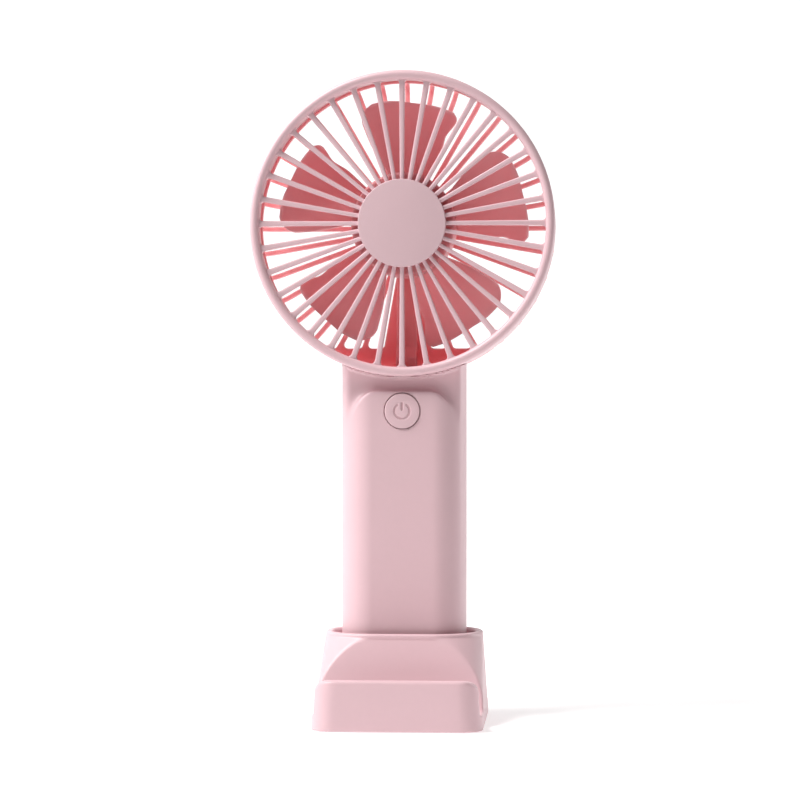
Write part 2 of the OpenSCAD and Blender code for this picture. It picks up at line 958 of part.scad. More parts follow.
module motor_screws() {
    color(STEEL)
    translate([0, 0, head_z])
    for (side = [-1, 1]) {
        along_y(side * motor_screw_ring_r, 0, motor_screw_head_r,
                motor_front - retainer_t - motor_screw_head_h, motor_front - retainer_t);
        along_y(side * motor_screw_ring_r, 0, motor_screw_r,
                motor_front - retainer_t - EPS, motor_front + 4.6);
    }
}

module motor_leads() {
    terminal_x = commutator_r + FIT + 2.4;
    duct_y = guard_front - lead_r - 0.4;
    low_y = duct_low_front + 1.6;
    color(DARK)
    for (side = [-1, 1])
        wire([[side * terminal_x, motor_back + lead_r + 0.1, head_z - 2 - lead_r - 0.1],
              [side * lead_x, duct_y, head_z - cup_r + 1.5],
              [side * lead_x, duct_y, head_z - duct_turn],
              [side * lead_x, low_y, head_z - duct_turn - 3.5],
              [side * lead_x, low_y, board_top + 1],
              [side * lead_x, board_back + lead_r + 0.05, board_top - 2],
              [side * lead_x, board_back + lead_r + 0.05, board_top - 3.5]], lead_r);
}

/* ---- Button and board ---- */

module power_symbol() {
    stroke = 0.55;
    arc_r = 2.5;
    difference() {
        circle(arc_r + stroke / 2);
        circle(arc_r - stroke / 2);
        rotate(180)
        wedge(38, 2 * arc_r);
    }
    translate([-stroke / 2, 0.4])
    square([stroke, arc_r]);
}

module power_button() {
    back = grip_front + button_skin;
    color(BODY_PINK)
    difference() {
        union() {
            along_y(0, button_z, button_r, grip_front - button_proud, back);
            intersection() {
                along_y(0, button_z, button_r + flange_over, back, back + flange_t);
                translate([-2 * button_r, grip_front, button_z - 3 * button_r])
                cube([4 * button_r, grip_d, flange_top - button_z + 3 * button_r]);
            }
            along_y(0, button_z, plunger_r, back, plunger_tip);
        }
        translate([0, 0, button_z])
        facing(grip_front - 2, grip_front - button_proud + 0.25)
        power_symbol();
    }
}

module switch_plunger() {
    color(DARK)
    along_y(0, button_z, plunger_r, plunger_tip, plunger_tip + 2);
}

module tact_switch() {
    color(STEEL)
    difference() {
        translate([-switch_w / 2, board_front - switch_d, button_z - switch_w / 2])
        cube([switch_w, switch_d, switch_w]);
        along_y(0, button_z, plunger_r + FIT, board_front - switch_d - 1, plunger_tip + 2 + button_travel + 0.3);
    }
}

module circuit_board() {
    color(BOARD_GREEN)
    difference() {
        translate([-board_w / 2, board_front, board_bottom])
        cube([board_w, board_t, board_h]);
        for (p = board_screw_spots)
            along_y(p[0], p[1], board_screw_r, board_front - 1, board_back + 1);
    }
}

module board_screws() {
    color(STEEL)
    for (p = board_screw_spots) {
        along_y(p[0], p[1], board_screw_head_r, board_back, board_back + board_screw_head_h);
        along_y(p[0], p[1], board_screw_r, board_front - 4.6, board_back + EPS);
    }
}

module control_chip() {
    color(DARK)
    translate([-2.5, board_back, usb_z + 6])
    cube([5, 1.5, 4]);
}

module power_coil() {
    color(DARK)
    along_y(-6.5, usb_z + 8, 2.6, board_back, board_back + 2.8);
}

module board_capacitors() {
    color(BRONZE)
    for (x = [4, 6.8], z = [5, 8.5, 12])
        translate([x, board_back, usb_z + z])
        cube([1.2, 0.8, 2]);
}

module usb_shell() {
    color(STEEL)
    translate([0, 0, usb_z])
    difference() {
        facing(board_back, usb_mouth) stadium(usb_w, usb_h);
        facing(board_back + usb_t, usb_mouth + 1) stadium(usb_w - 2 * usb_t, usb_h - 2 * usb_t);
    }
}

module usb_tongue() {
    color(DARK)
    translate([0, 0, usb_z]) {
        facing(board_back + usb_t, board_back + 3) stadium(usb_w - 2 * usb_t - FIT, usb_h - 2 * usb_t - FIT);
        facing(board_back + 2, usb_mouth - 0.8) square([6.6, 0.7], center = true);
    }
}

/* ---- Battery ---- */

module battery_cell() {
    color(STEEL)
    translate([0, grip_y, cell_bottom])
    cylinder(r = cell_r, h = cell_len);
}

module battery_sleeve() {
    color(CORAL)
    translate([0, grip_y, cell_bottom])
    difference() {
        cylinder(r = sleeve_r, h = cell_len);
        translate([0, 0, -1])
        cylinder(r = cell_r, h = cell_len + 2);
    }
}

module battery_cap() {
    color(STEEL)
    translate([0, grip_y, cell_top])
    cylinder(r = 2.8, h = 0.4);
}

module cell_board() {
    color(BOARD_GREEN)
    translate([0, grip_y, cell_top + 0.4])
    cylinder(r = cell_r - 0.5, h = 0.6);
}

module battery_pads() {
    color(DARK) {
        translate([0, grip_y, floor_top])
        cylinder(r = cell_r - 1, h = cell_bottom - floor_top);
        for (side = [-1, 1])
            translate([0, grip_y + side * (grip_d / 2 - wall) - (side > 0 ? pad_t : 0), cell_bottom + cell_len / 2])
            translate([-4, 0, -8])
            cube([8, pad_t, 16]);
    }
}

module battery_leads() {
    start_z = cell_top + 1 + lead_r;
    color(DARK)
    for (side = [-1, 1])
        wire([[side * 5, grip_y + 5, start_z],
              [side * 5, board_back + lead_r + 0.05, start_z + 1],
              [side * 5, board_back + lead_r + 0.05, board_bottom + 2.2]], lead_r);
}

dock_body();
dock_base_plate();
dock_feet();
dock_screws();
rear_shell();
front_shell();
shell_screws();
rear_guard();
front_guard();
guard_disc();
motor_can();
motor_end_cap();
motor_magnets();
motor_bushes();
motor_brushes();
motor_retainer();
motor_screws();
motor_leads();
impeller();
motor_shaft();
rotor_core();
rotor_windings();
commutator();
power_button();
switch_plunger();
tact_switch();
circuit_board();
board_screws();
control_chip();
power_coil();
board_capacitors();
usb_shell();
usb_tongue();
battery_cell();
battery_sleeve();
battery_cap();
cell_board();
battery_pads();
battery_leads();
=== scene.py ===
"""Visual model of a hand-held electric fan standing in its desk dock.

Every length is in millimetres until a mesh is made. Each sub-assembly is a class that reads its
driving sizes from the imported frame, builds its pieces and dresses them.
"""

import json
import logging
import math
from dataclasses import dataclass, field
from enum import Enum
from typing import Callable, Iterable, Sequence, Union

import bmesh
import bpy
import numpy as np
from mathutils import Matrix, Vector


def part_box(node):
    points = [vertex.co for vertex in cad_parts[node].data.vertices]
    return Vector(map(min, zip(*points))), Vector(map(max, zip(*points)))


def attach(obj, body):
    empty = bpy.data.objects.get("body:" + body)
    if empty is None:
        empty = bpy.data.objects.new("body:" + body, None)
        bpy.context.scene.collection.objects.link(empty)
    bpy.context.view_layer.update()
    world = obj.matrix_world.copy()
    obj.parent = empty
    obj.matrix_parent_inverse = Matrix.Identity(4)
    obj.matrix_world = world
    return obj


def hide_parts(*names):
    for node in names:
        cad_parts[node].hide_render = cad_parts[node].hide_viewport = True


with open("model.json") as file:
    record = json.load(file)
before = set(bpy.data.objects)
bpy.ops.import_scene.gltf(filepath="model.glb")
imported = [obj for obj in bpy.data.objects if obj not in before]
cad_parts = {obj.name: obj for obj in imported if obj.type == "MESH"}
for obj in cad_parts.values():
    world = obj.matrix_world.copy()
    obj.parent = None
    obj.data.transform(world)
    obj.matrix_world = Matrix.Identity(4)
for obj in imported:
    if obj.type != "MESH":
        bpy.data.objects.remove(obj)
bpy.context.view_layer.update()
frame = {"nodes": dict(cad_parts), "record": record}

LOG = logging.getLogger("fan")
MM = 0.001
TAU = 2.0 * math.pi

Point2 = tuple[float, float]
Corner = tuple[float, float, float]


# ---------------------------------------------------------------- frame sizes


@dataclass(frozen=True)
class Box:
    """The box of a CAD node at rest, in millimetres."""

    low: tuple[float, float, float]
    high: tuple[float, float, float]

    @classmethod
    def of(cls, node: str) -> "Box":
        """Reads a node's box from the frame.

        Args:
            node: name of a CAD node.

        Returns:
            The node's box.
        """
        low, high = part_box(node)
        return cls(tuple(v / MM for v in low), tuple(v / MM for v in high))

    def mid(self, axis: int) -> float:
        """Returns the middle of the box along an axis."""
        return (self.low[axis] + self.high[axis]) / 2

    def size(self, axis: int) -> float:
        """Returns the size of the box along an axis."""
        return self.high[axis] - self.low[axis]


# ---------------------------------------------------------------- shader maths


class Link:
    """A shader socket that takes part in Python expressions."""

    def __init__(self, graph: "Graph", socket: bpy.types.NodeSocket) -> None:
        """Wraps an output socket.

        Args:
            graph: the graph that the socket belongs to.
            socket: the output socket.
        """
        self.graph = graph
        self.socket = socket

    def _math(self, operation: str, *values: Union["Link", float]) -> "Link":
        """Adds a Math node.

        Args:
            operation: the Math node's operation.
            values: its inputs, in order.

        Returns:
            The node's result.
        """
        inputs = {index: value for index, value in enumerate(values)}
        return self.graph.add("ShaderNodeMath", {"operation": operation}, inputs)

    def __add__(self, other: Union["Link", float]) -> "Link":
        """Adds a value."""
        return self._math("ADD", self, other)

    def __radd__(self, other: float) -> "Link":
        """Adds this to a number."""
        return self._math("ADD", other, self)

    def __sub__(self, other: Union["Link", float]) -> "Link":
        """Takes a value away."""
        return self._math("SUBTRACT", self, other)

    def __rsub__(self, other: float) -> "Link":
        """Takes this away from a number."""
        return self._math("SUBTRACT", other, self)

    def __mul__(self, other: Union["Link", float]) -> "Link":
        """Multiplies by a value."""
        return self._math("MULTIPLY", self, other)

    def __rmul__(self, other: float) -> "Link":
        """Multiplies a number by this."""
        return self._math("MULTIPLY", other, self)

    def power(self, exponent: float) -> "Link":
        """Raises this to a power."""
        return self._math("POWER", self, exponent)

    def clamped(self) -> "Link":
        """Keeps this between 0 and 1."""
        return self.graph.add("ShaderNodeClamp", {}, {"Value": self})


class Graph:
    """The node graph of one material."""

    def __init__(self, name: str) -> None:
        """Starts a material with an empty graph.

        Args:
            name: the material's name.
        """
        self.material = bpy.data.materials.new(name)
        self.material.use_nodes = True
        self.tree = self.material.node_tree
        self.tree.nodes.clear()
        self.output = self.tree.nodes.new("ShaderNodeOutputMaterial")
        self._place = self.add("ShaderNodeTexCoord", {}, {}, "Object")

    def add(
        self,
        kind: str,
        settings: dict[str, object],
        inputs: dict[Union[str, int], object],
        output: Union[str, int] = 0,
    ) -> Link:
        """Adds any node.

        Args:
            kind: the node's type.
            settings: attributes that are set first, or "stops" for a ramp's stops.
            inputs: values or links of the node's sockets, by name or index.
            output: the socket to return.

        Returns:
            The chosen output.
        """
        node = self.tree.nodes.new(kind)
        for key, value in settings.items():
            if key == "stops":
                self._set_stops(node, value)
            else:
                setattr(node, key, value)
        for key, value in inputs.items():
            self.feed(node.inputs[key], value)
        return Link(self, node.outputs[output])

    def feed(self, socket: bpy.types.NodeSocket, value: object) -> None:
        """Links or sets one input socket.

        Args:
            socket: the input.
            value: a link, a number or a tuple.
        """
        if isinstance(value, Link):
            self.tree.links.new(value.socket, socket)
        else:
            socket.default_value = value

    @staticmethod
    def _set_stops(node: bpy.types.Node, stops: Sequence[tuple[float, tuple[float, ...]]]) -> None:
        """Sets a ramp's stops.

        Args:
            node: the ramp.
            stops: position and colour of each stop.
        """
        elements = node.color_ramp.elements
        while len(elements) > 1:
            elements.remove(elements[-1])
        for index, (position, colour) in enumerate(stops):
            stop = elements[0] if index == 0 else elements.new(position)
            stop.position = position
            stop.color = (*colour, 1.0) if len(colour) == 3 else colour

    def noise(self, size: float, detail: float = 2.0, stretch: Corner = (1.0, 1.0, 1.0)) -> Link:
        """Returns noise between 0 and 1.

        Args:
            size: size of its spots in millimetres.
            detail: octaves.
            stretch: how much the spots are squeezed along each axis.

        Returns:
            The noise.
        """
        place = self.add("ShaderNodeMapping", {}, {"Vector": self._place, "Scale": stretch})
        inputs = {"Vector": place, "Scale": 1.0 / (size * MM), "Detail": detail, "Roughness": 0.55}
        return self.add("ShaderNodeTexNoise", {}, inputs)

    def blend(self, factor: Link, first: Corner, second: Corner) -> Link:
        """Mixes two colours.

        Args:
            factor: 0 for the first, 1 for the second.
            first: linear colour.
            second: linear colour.

        Returns:
            The mixed colour.
        """
        inputs = {"Factor": factor, 6: (*first, 1.0), 7: (*second, 1.0)}
        return self.add("ShaderNodeMix", {"data_type": "RGBA"}, inputs, 2)

    def bump(self, height: Link, depth: float) -> Link:
        """Returns a normal bent by a height.

        Args:
            height: height between 0 and 1.
            depth: depth of the relief in millimetres.

        Returns:
            The bent normal.
        """
        inputs = {"Height": height, "Distance": depth * MM, "Strength": 1.0}
        return self.add("ShaderNodeBump", {}, inputs)

    def surface(self, **inputs: object) -> bpy.types.Material:
        """Finishes the material with one Principled shader.

        Args:
            inputs: its sockets, with underscores for spaces.

        Returns:
            The material.
        """
        named = {key.replace("_", " "): value for key, value in inputs.items()}
        shader = self.add("ShaderNodeBsdfPrincipled", {}, named)
        self.feed(self.output.inputs["Surface"], shader)
        return self.material


def shade(colour: Corner, factor: float) -> Corner:
    """Returns a colour made lighter or darker."""
    return tuple(min(1.0, c * factor) for c in colour)


def srgb(red: int, green: int, blue: int) -> Corner:
    """Turns a screen colour into a linear one.

    Args:
        red: red from 0 to 255.
        green: green from 0 to 255.
        blue: blue from 0 to 255.

    Returns:
        The linear colour.
    """
    def linear(value: float) -> float:
        """Undoes the screen's curve."""
        return value / 12.92 if value <= 0.04045 else ((value + 0.055) / 1.055) ** 2.4
    return linear(red / 255), linear(green / 255), linear(blue / 255)


# ---------------------------------------------------------------- finishes


@dataclass(frozen=True)
class MouldedPlastic:
    """Injection-moulded plastic with a fine spark-eroded texture."""

    name: str
    colour: Corner
    roughness: float = 0.42
    grain: float = 0.35
    grain_depth: float = 0.006
    glow: float = 0.0

    def material(self) -> bpy.types.Material:
        """Makes the plastic: slow flow marks over a fine grain.

        Returns:
            The material.
        """
        graph = Graph(self.name)
        flow = graph.noise(26.0, 3.0)
        grain = graph.noise(self.grain, 3.0)
        speck = graph.noise(self.grain * 5, 2.0)
        worn = (flow * 0.6 + speck * 0.4).clamped()
        colour = graph.blend(worn, shade(self.colour, 0.965), shade(self.colour, 1.03))
        roughness = self.roughness + (grain - 0.5) * 0.12 + (flow - 0.5) * 0.10
        height = grain * 0.7 + speck * 0.3
        return graph.surface(
            Base_Color=colour,
            Roughness=roughness,
            Normal=graph.bump(height, self.grain_depth),
            Subsurface_Weight=self.glow,
            Subsurface_Radius=(1.0, 0.9, 0.9),
            Subsurface_Scale=4.0 * MM,
        )


@dataclass(frozen=True)
class PlatedMetal:
    """Drawn, turned or plated metal with fine scratches."""

    name: str
    colour: Corner
    roughness: float = 0.3
    grain: float = 0.2
    stretch: Corner = (1.0, 12.0, 1.0)

    def material(self) -> bpy.types.Material:
        """Makes the metal: a brushed or even grain, with a faint stain.

        Returns:
            The material.
        """
        graph = Graph(self.name)
        brush = graph.noise(self.grain, 4.0, self.stretch)
        stain = graph.noise(7.0, 3.0)
        colour = graph.blend(stain, shade(self.colour, 0.86), shade(self.colour, 1.06))
        roughness = (self.roughness + (brush - 0.5) * 0.22 + (stain - 0.5) * 0.15).clamped()
        return graph.surface(
            Base_Color=colour,
            Metallic=1.0,
            Roughness=roughness,
            Normal=graph.bump(brush, 0.004),
        )


@dataclass(frozen=True)
class SoftRubber:
    """Matt rubber or foam with open pores."""

    name: str
    colour: Corner
    pore: float = 0.4
    pore_depth: float = 0.03

    def material(self) -> bpy.types.Material:
        """Makes the rubber: open pores with painted shade in their pits, under a little dust.

        Returns:
            The material.
        """
        graph = Graph(self.name)
        pores = graph.noise(self.pore, 3.0)
        dust = graph.noise(4.0, 3.0)
        # painted shade: the pits of the pores are darker; the dust noise varies the tone at random
        pore_shade_and_dust = (dust * 0.5 + pores * 0.5).clamped()
        colour = graph.blend(pore_shade_and_dust, shade(self.colour, 0.8), shade(self.colour, 1.5))
        return graph.surface(
            Base_Color=colour,
            Roughness=0.78 + (dust - 0.5) * 0.2,
            Normal=graph.bump(pores, self.pore_depth),
        )


@dataclass(frozen=True)
class WoundWire:
    """Enamelled copper wire wound side by side."""

    name: str
    colour: Corner
    wire: float = 0.22

    def material(self) -> bpy.types.Material:
        """Makes the winding: turns of wire with painted shade in the grooves between them and a painted
        highlight on their crowns.

        Returns:
            The material.
        """
        graph = Graph(self.name)
        inputs = {"Vector": graph.add("ShaderNodeTexCoord", {}, {}, "Object"),
                  "Scale": 0.5 / (self.wire * MM) / math.pi, "Distortion": 0.6, "Detail": 1.0}
        turns = graph.add("ShaderNodeTexWave", {"bands_direction": "DIAGONAL"}, inputs, 1)
        tint = graph.noise(3.0, 2.0)
        # painted shade in the grooves between turns and a painted highlight on their crowns, mixed with a
        # random tint
        painted_groove_shade_and_tint = (turns * 0.75 + tint * 0.25).clamped()
        colour = graph.blend(painted_groove_shade_and_tint, shade(self.colour, 0.35), shade(self.colour, 1.15))
        return graph.surface(
            Base_Color=colour,
            Metallic=0.85,
            Roughness=0.28 + (1.0 - turns) * 0.3,
            Normal=graph.bump(turns, 0.08),
        )


@dataclass(frozen=True)
class SolderResist:
    """Circuit board with solder resist over copper tracks."""

    name: str
    colour: Corner

    def material(self) -> bpy.types.Material:
        """Makes the board: tracks that stand up under the resist.

        Returns:
            The material.
        """
        graph = Graph(self.name)
        place = graph.add("ShaderNodeTexCoord", {}, {}, "Object")
        inputs = {"Vector": place, "Scale": 1.0 / (1.6 * MM), "Randomness": 0.35}
        cells = graph.add(
            "ShaderNodeTexVoronoi", {"distance": "CHEBYCHEV", "feature": "F1"}, inputs, "Distance"
        )
        ramp = {"stops": [(0.36, (0.0, 0.0, 0.0)), (0.42, (1.0, 1.0, 1.0))]}
        tracks = graph.add("ShaderNodeValToRGB", ramp, {"Fac": cells})
        grime = graph.noise(2.5, 3.0)
        colour = graph.blend(tracks, shade(self.colour, 1.45), shade(self.colour, 0.8))
        return graph.surface(
            Base_Color=colour,
            Roughness=0.28 + (grime - 0.5) * 0.15,
            Normal=graph.bump(tracks, 0.03),
        )


class Finish(Enum):
    """The finishes of the fan and its dock, by the record's slot."""

    PINK = "pink_plastic"
    DISC = "disc_plastic"
    CORAL_AND_INNER_SHADE = "coral_plastic"
    RUBBER = "rubber"
    SCREW = "screw_steel"
    CAN = "can_steel"
    CORE = "core_steel"
    BRONZE = "bush_bronze"
    CONTACT = "contact_brass"
    WINDING = "winding_copper"
    MAGNET = "magnet_black"
    BLACK = "black_plastic"
    LEAD = "lead_insulation"
    BOARD = "board_green"
    SLEEVE = "sleeve_film"
    FOAM = "foam"


RECIPES = {
    Finish.PINK: MouldedPlastic("Pink_Satin_Plastic", srgb(227, 192, 198), 0.42, glow=0.05),
    Finish.DISC: MouldedPlastic("Pink_Matt_Disc", srgb(221, 188, 194), 0.62, grain=0.25, grain_depth=0.008),
    # real coral on the impeller; on the rear cage, motor cup and lead duct the same coral is painted shade
    # inside the head
    Finish.CORAL_AND_INNER_SHADE: MouldedPlastic("Coral_Plastic_And_Inner_Shade", srgb(250, 166, 170), 0.4, glow=0.8),
    Finish.RUBBER: SoftRubber("Grey_Foot_Rubber", (0.035, 0.033, 0.034)),
    Finish.SCREW: PlatedMetal("Zinc_Plated_Screw", (0.58, 0.58, 0.60), 0.32),
    Finish.CAN: PlatedMetal("Drawn_Nickel_Steel", (0.66, 0.67, 0.68), 0.24),
    Finish.CORE: PlatedMetal("Laminated_Core_Steel", (0.34, 0.35, 0.37), 0.42, 0.35, (1.0, 30.0, 1.0)),
    Finish.BRONZE: PlatedMetal("Sintered_Bronze", (0.52, 0.32, 0.16), 0.48, 0.15, (1.0, 1.0, 1.0)),
    Finish.CONTACT: PlatedMetal("Stamped_Brass", (0.70, 0.52, 0.22), 0.3),
    Finish.WINDING: WoundWire("Enamelled_Copper", (0.62, 0.22, 0.08)),
    Finish.MAGNET: SoftRubber("Ferrite", (0.04, 0.04, 0.045), 0.2, 0.01),
    Finish.BLACK: MouldedPlastic("Black_Moulding", (0.02, 0.02, 0.021), 0.5),
    Finish.LEAD: MouldedPlastic("Red_Lead_Insulation", (0.42, 0.02, 0.02), 0.35, 0.3, 0.003),
    Finish.BOARD: SolderResist("Green_Solder_Resist", (0.012, 0.10, 0.045)),
    Finish.SLEEVE: MouldedPlastic("Blue_Shrink_Film", (0.03, 0.16, 0.42), 0.22, 1.2, 0.01),
    Finish.FOAM: SoftRubber("Charcoal_Foam", (0.04, 0.04, 0.042), 0.7, 0.12),
}


class Paint:
    """Makes each finish once and puts it on pieces."""

    def __init__(self) -> None:
        """Starts with no material made."""
        self._made: dict[Finish, bpy.types.Material] = {}

    def on(self, piece: bpy.types.Object, finish: Finish) -> None:
        """Gives a piece its finish.

        Args:
            piece: the object.
            finish: what it is made of.
        """
        if finish not in self._made:
            self._made[finish] = RECIPES[finish].material()
        piece.data.materials.clear()
        piece.data.materials.append(self._made[finish])


# ---------------------------------------------------------------- outlines


def arc(centre: Point2, radius: float, start: float, end: float, steps: int) -> list[Point2]:
    """Returns points along an arc.

    Args:
        centre: its centre.
        radius: its radius.
        start: first angle in degrees.
        end: last angle in degrees.
        steps: number of chords.

    Returns:
        The points, both ends included.
    """
    angles = [math.radians(start + (end - start) * i / steps) for i in range(steps + 1)]
    return [(centre[0] + radius * math.cos(a), centre[1] + radius * math.sin(a)) for a in angles]


def filleted(corners: Sequence[Corner], steps: int = 5) -> list[Point2]:
    """Rounds the corners of a closed outline.

    Args:
        corners: x, y and fillet radius of each corner.
        steps: chords in each fillet.

    Returns:
        The rounded outline.
    """
    points: list[Point2] = []
    count = len(corners)
    for index, (x, y, radius) in enumerate(corners):
        here = Vector((x, y))
        back = Vector(corners[index - 1][:2]) - here
        ahead = Vector(corners[(index + 1) % count][:2]) - here
        if radius <= 0:
            points.append((x, y))
            continue
        half = back.angle(ahead) / 2
        reach = min(radius / math.tan(half), back.length * 0.49, ahead.length * 0.49)
        size = reach * math.tan(half)
        bisector = (back.normalized() + ahead.normalized()).normalized()
        centre = here + bisector * (size / math.sin(half))
        first = here + back.normalized() * reach - centre
        last = here + ahead.normalized() * reach - centre
        turn = math.atan2(first.x * last.y - first.y * last.x, first.dot(last))
        for step in range(steps + 1):
            spun = Matrix.Rotation(turn * step / steps, 2) @ first
            points.append((centre.x + spun.x, centre.y + spun.y))
    return points


# ---------------------------------------------------------------- mesh making


class Shape:
    """A mesh in the making, in millimetres."""

    def __init__(self) -> None:
        """Starts with an empty mesh."""
        self.points: list[tuple[float, float, float]] = []
        self.faces: list[list[int]] = []

    def add(self, points: Iterable[Sequence[float]], faces: Iterable[Sequence[int]]) -> "Shape":
        """Adds points and the faces between them.

        Args:
            points: new points.
            faces: faces counted from the first new point.

        Returns:
            This shape.
        """
        start = len(self.points)
        self.points.extend(tuple(p) for p in points)
        self.faces.extend([start + i for i in f] for f in faces)
        return self

    def piece(self, name: str, sharp: float = 35.0, weld: float = 0.0) -> bpy.types.Object:
        """Makes the object.

        Args:
            name: its name.
            sharp: angle in degrees above which an edge stays sharp.
            weld: distance in millimetres under which points are joined.

        Returns:
            The object, in metres.
        """
        mesh = bpy.data.meshes.new(name)
        scaled = [(x * MM, y * MM, z * MM) for x, y, z in self.points]
        mesh.from_pydata(scaled, [], self.faces)
        return finish_mesh(mesh, name, sharp, weld)


def finish_mesh(mesh: bpy.types.Mesh, name: str, sharp: float, weld: float) -> bpy.types.Object:
    """Cleans a mesh and links an object for it.

    Args:
        mesh: the mesh, in metres.
        name: the object's name.
        sharp: angle in degrees above which an edge stays sharp.
        weld: distance in millimetres under which points are joined.

    Returns:
        The object.
    """
    work = bmesh.new()
    work.from_mesh(mesh)
    if weld > 0:
        bmesh.ops.remove_doubles(work, verts=work.verts, dist=weld * MM)
    bmesh.ops.recalc_face_normals(work, faces=work.faces)
    work.to_mesh(mesh)
    work.free()
    mesh.shade_smooth()
    mesh.set_sharp_from_angle(angle=math.radians(sharp))
    made = bpy.data.objects.new(name, mesh)
    bpy.context.scene.collection.objects.link(made)
    return made


def turned(profile: Sequence[Point2], head_z: float, steps: int = 180,
           start: float = 0.0, end: float = 360.0) -> Shape:
    """Turns a closed profile about the fan's axis, which runs along Y.

    Args:
        profile: radius and Y of each point, in order round the profile.
        head_z: height of the axis.
        steps: steps round the axis.
        start: first angle in degrees, clockwise from straight up as seen from the front.
        end: last angle in degrees.

    Returns:
        The closed shape.
    """
    whole = abs(end - start) >= 360.0
    rings = steps if whole else steps + 1
    count = len(profile)
    points = []
    for ring in range(rings):
        angle = math.radians(start + (end - start) * ring / steps)
        for radius, y in profile:
            points.append((radius * math.sin(angle), y, head_z + radius * math.cos(angle)))
    faces = []
    for ring in range(steps):
        a, b = ring * count, ((ring + 1) % rings) * count
        for i in range(count):
            j = (i + 1) % count
            faces.append([a + i, a + j, b + j, b + i])
    if not whole:
        faces.append(list(range(count)))
        faces.append([(rings - 1) * count + i for i in reversed(range(count))])
    return Shape().add(points, faces)


def plate(name: str, outlines: Sequence[Sequence[Point2]], front: float, back: float,
          edge: float) -> bpy.types.Object:
    """Makes a flat plate that faces the front, with holes and rounded edges.

    Args:
        name: the piece's name.
        outlines: the outer outline and the holes, as X and Z.
        front: Y of its front face.
        back: Y of its back face.
        edge: radius of its edges.

    Returns:
        The plate.
    """
    curve = bpy.data.curves.new(name, "CURVE")
    curve.dimensions = "2D"
    curve.fill_mode = "BOTH"
    curve.extrude = ((back - front) / 2 - edge) * MM
    curve.bevel_depth = edge * MM
    curve.bevel_resolution = 3
    curve.offset = -edge * MM
    for outline in outlines:
        spline = curve.splines.new("POLY")
        spline.points.add(len(outline) - 1)
        for point, (x, z) in zip(spline.points, outline):
            point.co = (x * MM, z * MM, 0.0, 1.0)
        spline.use_cyclic_u = True
    holder = bpy.data.objects.new(name, curve)
    bpy.context.scene.collection.objects.link(holder)
    bpy.context.view_layer.update()
    graph = bpy.context.evaluated_depsgraph_get()
    mesh = bpy.data.meshes.new_from_object(holder.evaluated_get(graph))
    bpy.data.objects.remove(holder)
    bpy.data.curves.remove(curve)
    mesh.transform(Matrix.Rotation(math.pi / 2, 4, "X"))
    mesh.transform(Matrix.Translation((0.0, (front + back) / 2 * MM, 0.0)))
    return finish_mesh(mesh, name, 40.0, 0.004)


def prism(outline: Sequence[Point2], front: float, back: float) -> Shape:
    """Extrudes an X and Z outline along Y.

    Args:
        outline: the outline.
        front: Y of its front.
        back: Y of its back.

    Returns:
        The closed shape.
    """
    count = len(outline)
    points = [(x, front, z) for x, z in outline] + [(x, back, z) for x, z in outline]
    faces = [[i, (i + 1) % count, count + (i + 1) % count, count + i] for i in range(count)]
    faces.append(list(reversed(range(count))))
    faces.append([count + i for i in range(count)])
    return Shape().add(points, faces)


class Workshop:
    """Modifiers that are applied at once."""

    @staticmethod
    def apply(piece: bpy.types.Object) -> bpy.types.Object:
        """Applies every modifier of a piece.

        Args:
            piece: the piece.

        Returns:
            The piece with its new mesh.
        """
        graph = bpy.context.evaluated_depsgraph_get()
        mesh = bpy.data.meshes.new_from_object(piece.evaluated_get(graph))
        piece.modifiers.clear()
        old = piece.data
        piece.data = mesh
        bpy.data.meshes.remove(old)
        mesh.name = piece.name
        return piece

    @classmethod
    def cut(cls, piece: bpy.types.Object, *tools: bpy.types.Object) -> bpy.types.Object:
        """Cuts tools out of a piece and throws the tools away.

        Args:
            piece: what is cut.
            tools: closed shapes.

        Returns:
            The cut piece.
        """
        for tool in tools:
            cutter = piece.modifiers.new("Cut", "BOOLEAN")
            cutter.operation = "DIFFERENCE"
            cutter.solver = "EXACT"
            cutter.object = tool
        bpy.context.view_layer.update()
        cls.apply(piece)
        for tool in tools:
            bpy.data.objects.remove(tool)
        return piece

    @staticmethod
    def round_edges(piece: bpy.types.Object, width: float, segments: int = 3,
                    angle: float = 40.0) -> bpy.types.Object:
        """Rounds a piece's sharp edges with a modifier that stays on it.

        Args:
            piece: the piece.
            width: radius in millimetres.
            segments: chords in each edge.
            angle: edges sharper than this are rounded.

        Returns:
            The piece.
        """
        bevel = piece.modifiers.new("Edges", "BEVEL")
        bevel.width = width * MM
        bevel.segments = segments
        bevel.limit_method = "ANGLE"
        bevel.angle_limit = math.radians(angle)
        bevel.harden_normals = True
        bevel.use_clamp_overlap = True
        return piece


# ---------------------------------------------------------------- fields


Array = np.ndarray
Field = Callable[[Array, Array, Array], Array]


def rounded_box(u: Array, v: Array, half_u: Array, half_v: Array, radius: Array) -> Array:
    """Distance to a rectangle with round corners.

    Args:
        u: first coordinate, from the rectangle's middle.
        v: second coordinate.
        half_u: half its width.
        half_v: half its height.
        radius: corner radius.

    Returns:
        Signed distance, negative inside.
    """
    du = np.abs(u) - (half_u - radius)
    dv = np.abs(v) - (half_v - radius)
    outside = np.hypot(np.maximum(du, 0), np.maximum(dv, 0))
    return outside + np.minimum(np.maximum(du, dv), 0) - radius


def both(a: Array, b: Array, radius: float) -> Array:
    """Space inside both fields, with a fillet on the edge between them."""
    corner = np.hypot(np.maximum(a + radius, 0), np.maximum(b + radius, 0))
    return np.minimum(-radius, np.maximum(a, b)) + corner


def either(a: Array, b: Array, radius: float) -> Array:
    """Space inside either field, with a fillet in the corner between them."""
    return -both(-a, -b, radius)


def without(a: Array, b: Array, radius: float) -> Array:
    """Space inside the first field and outside the second, with a fillet on the edge."""
    return both(a, -b, radius)


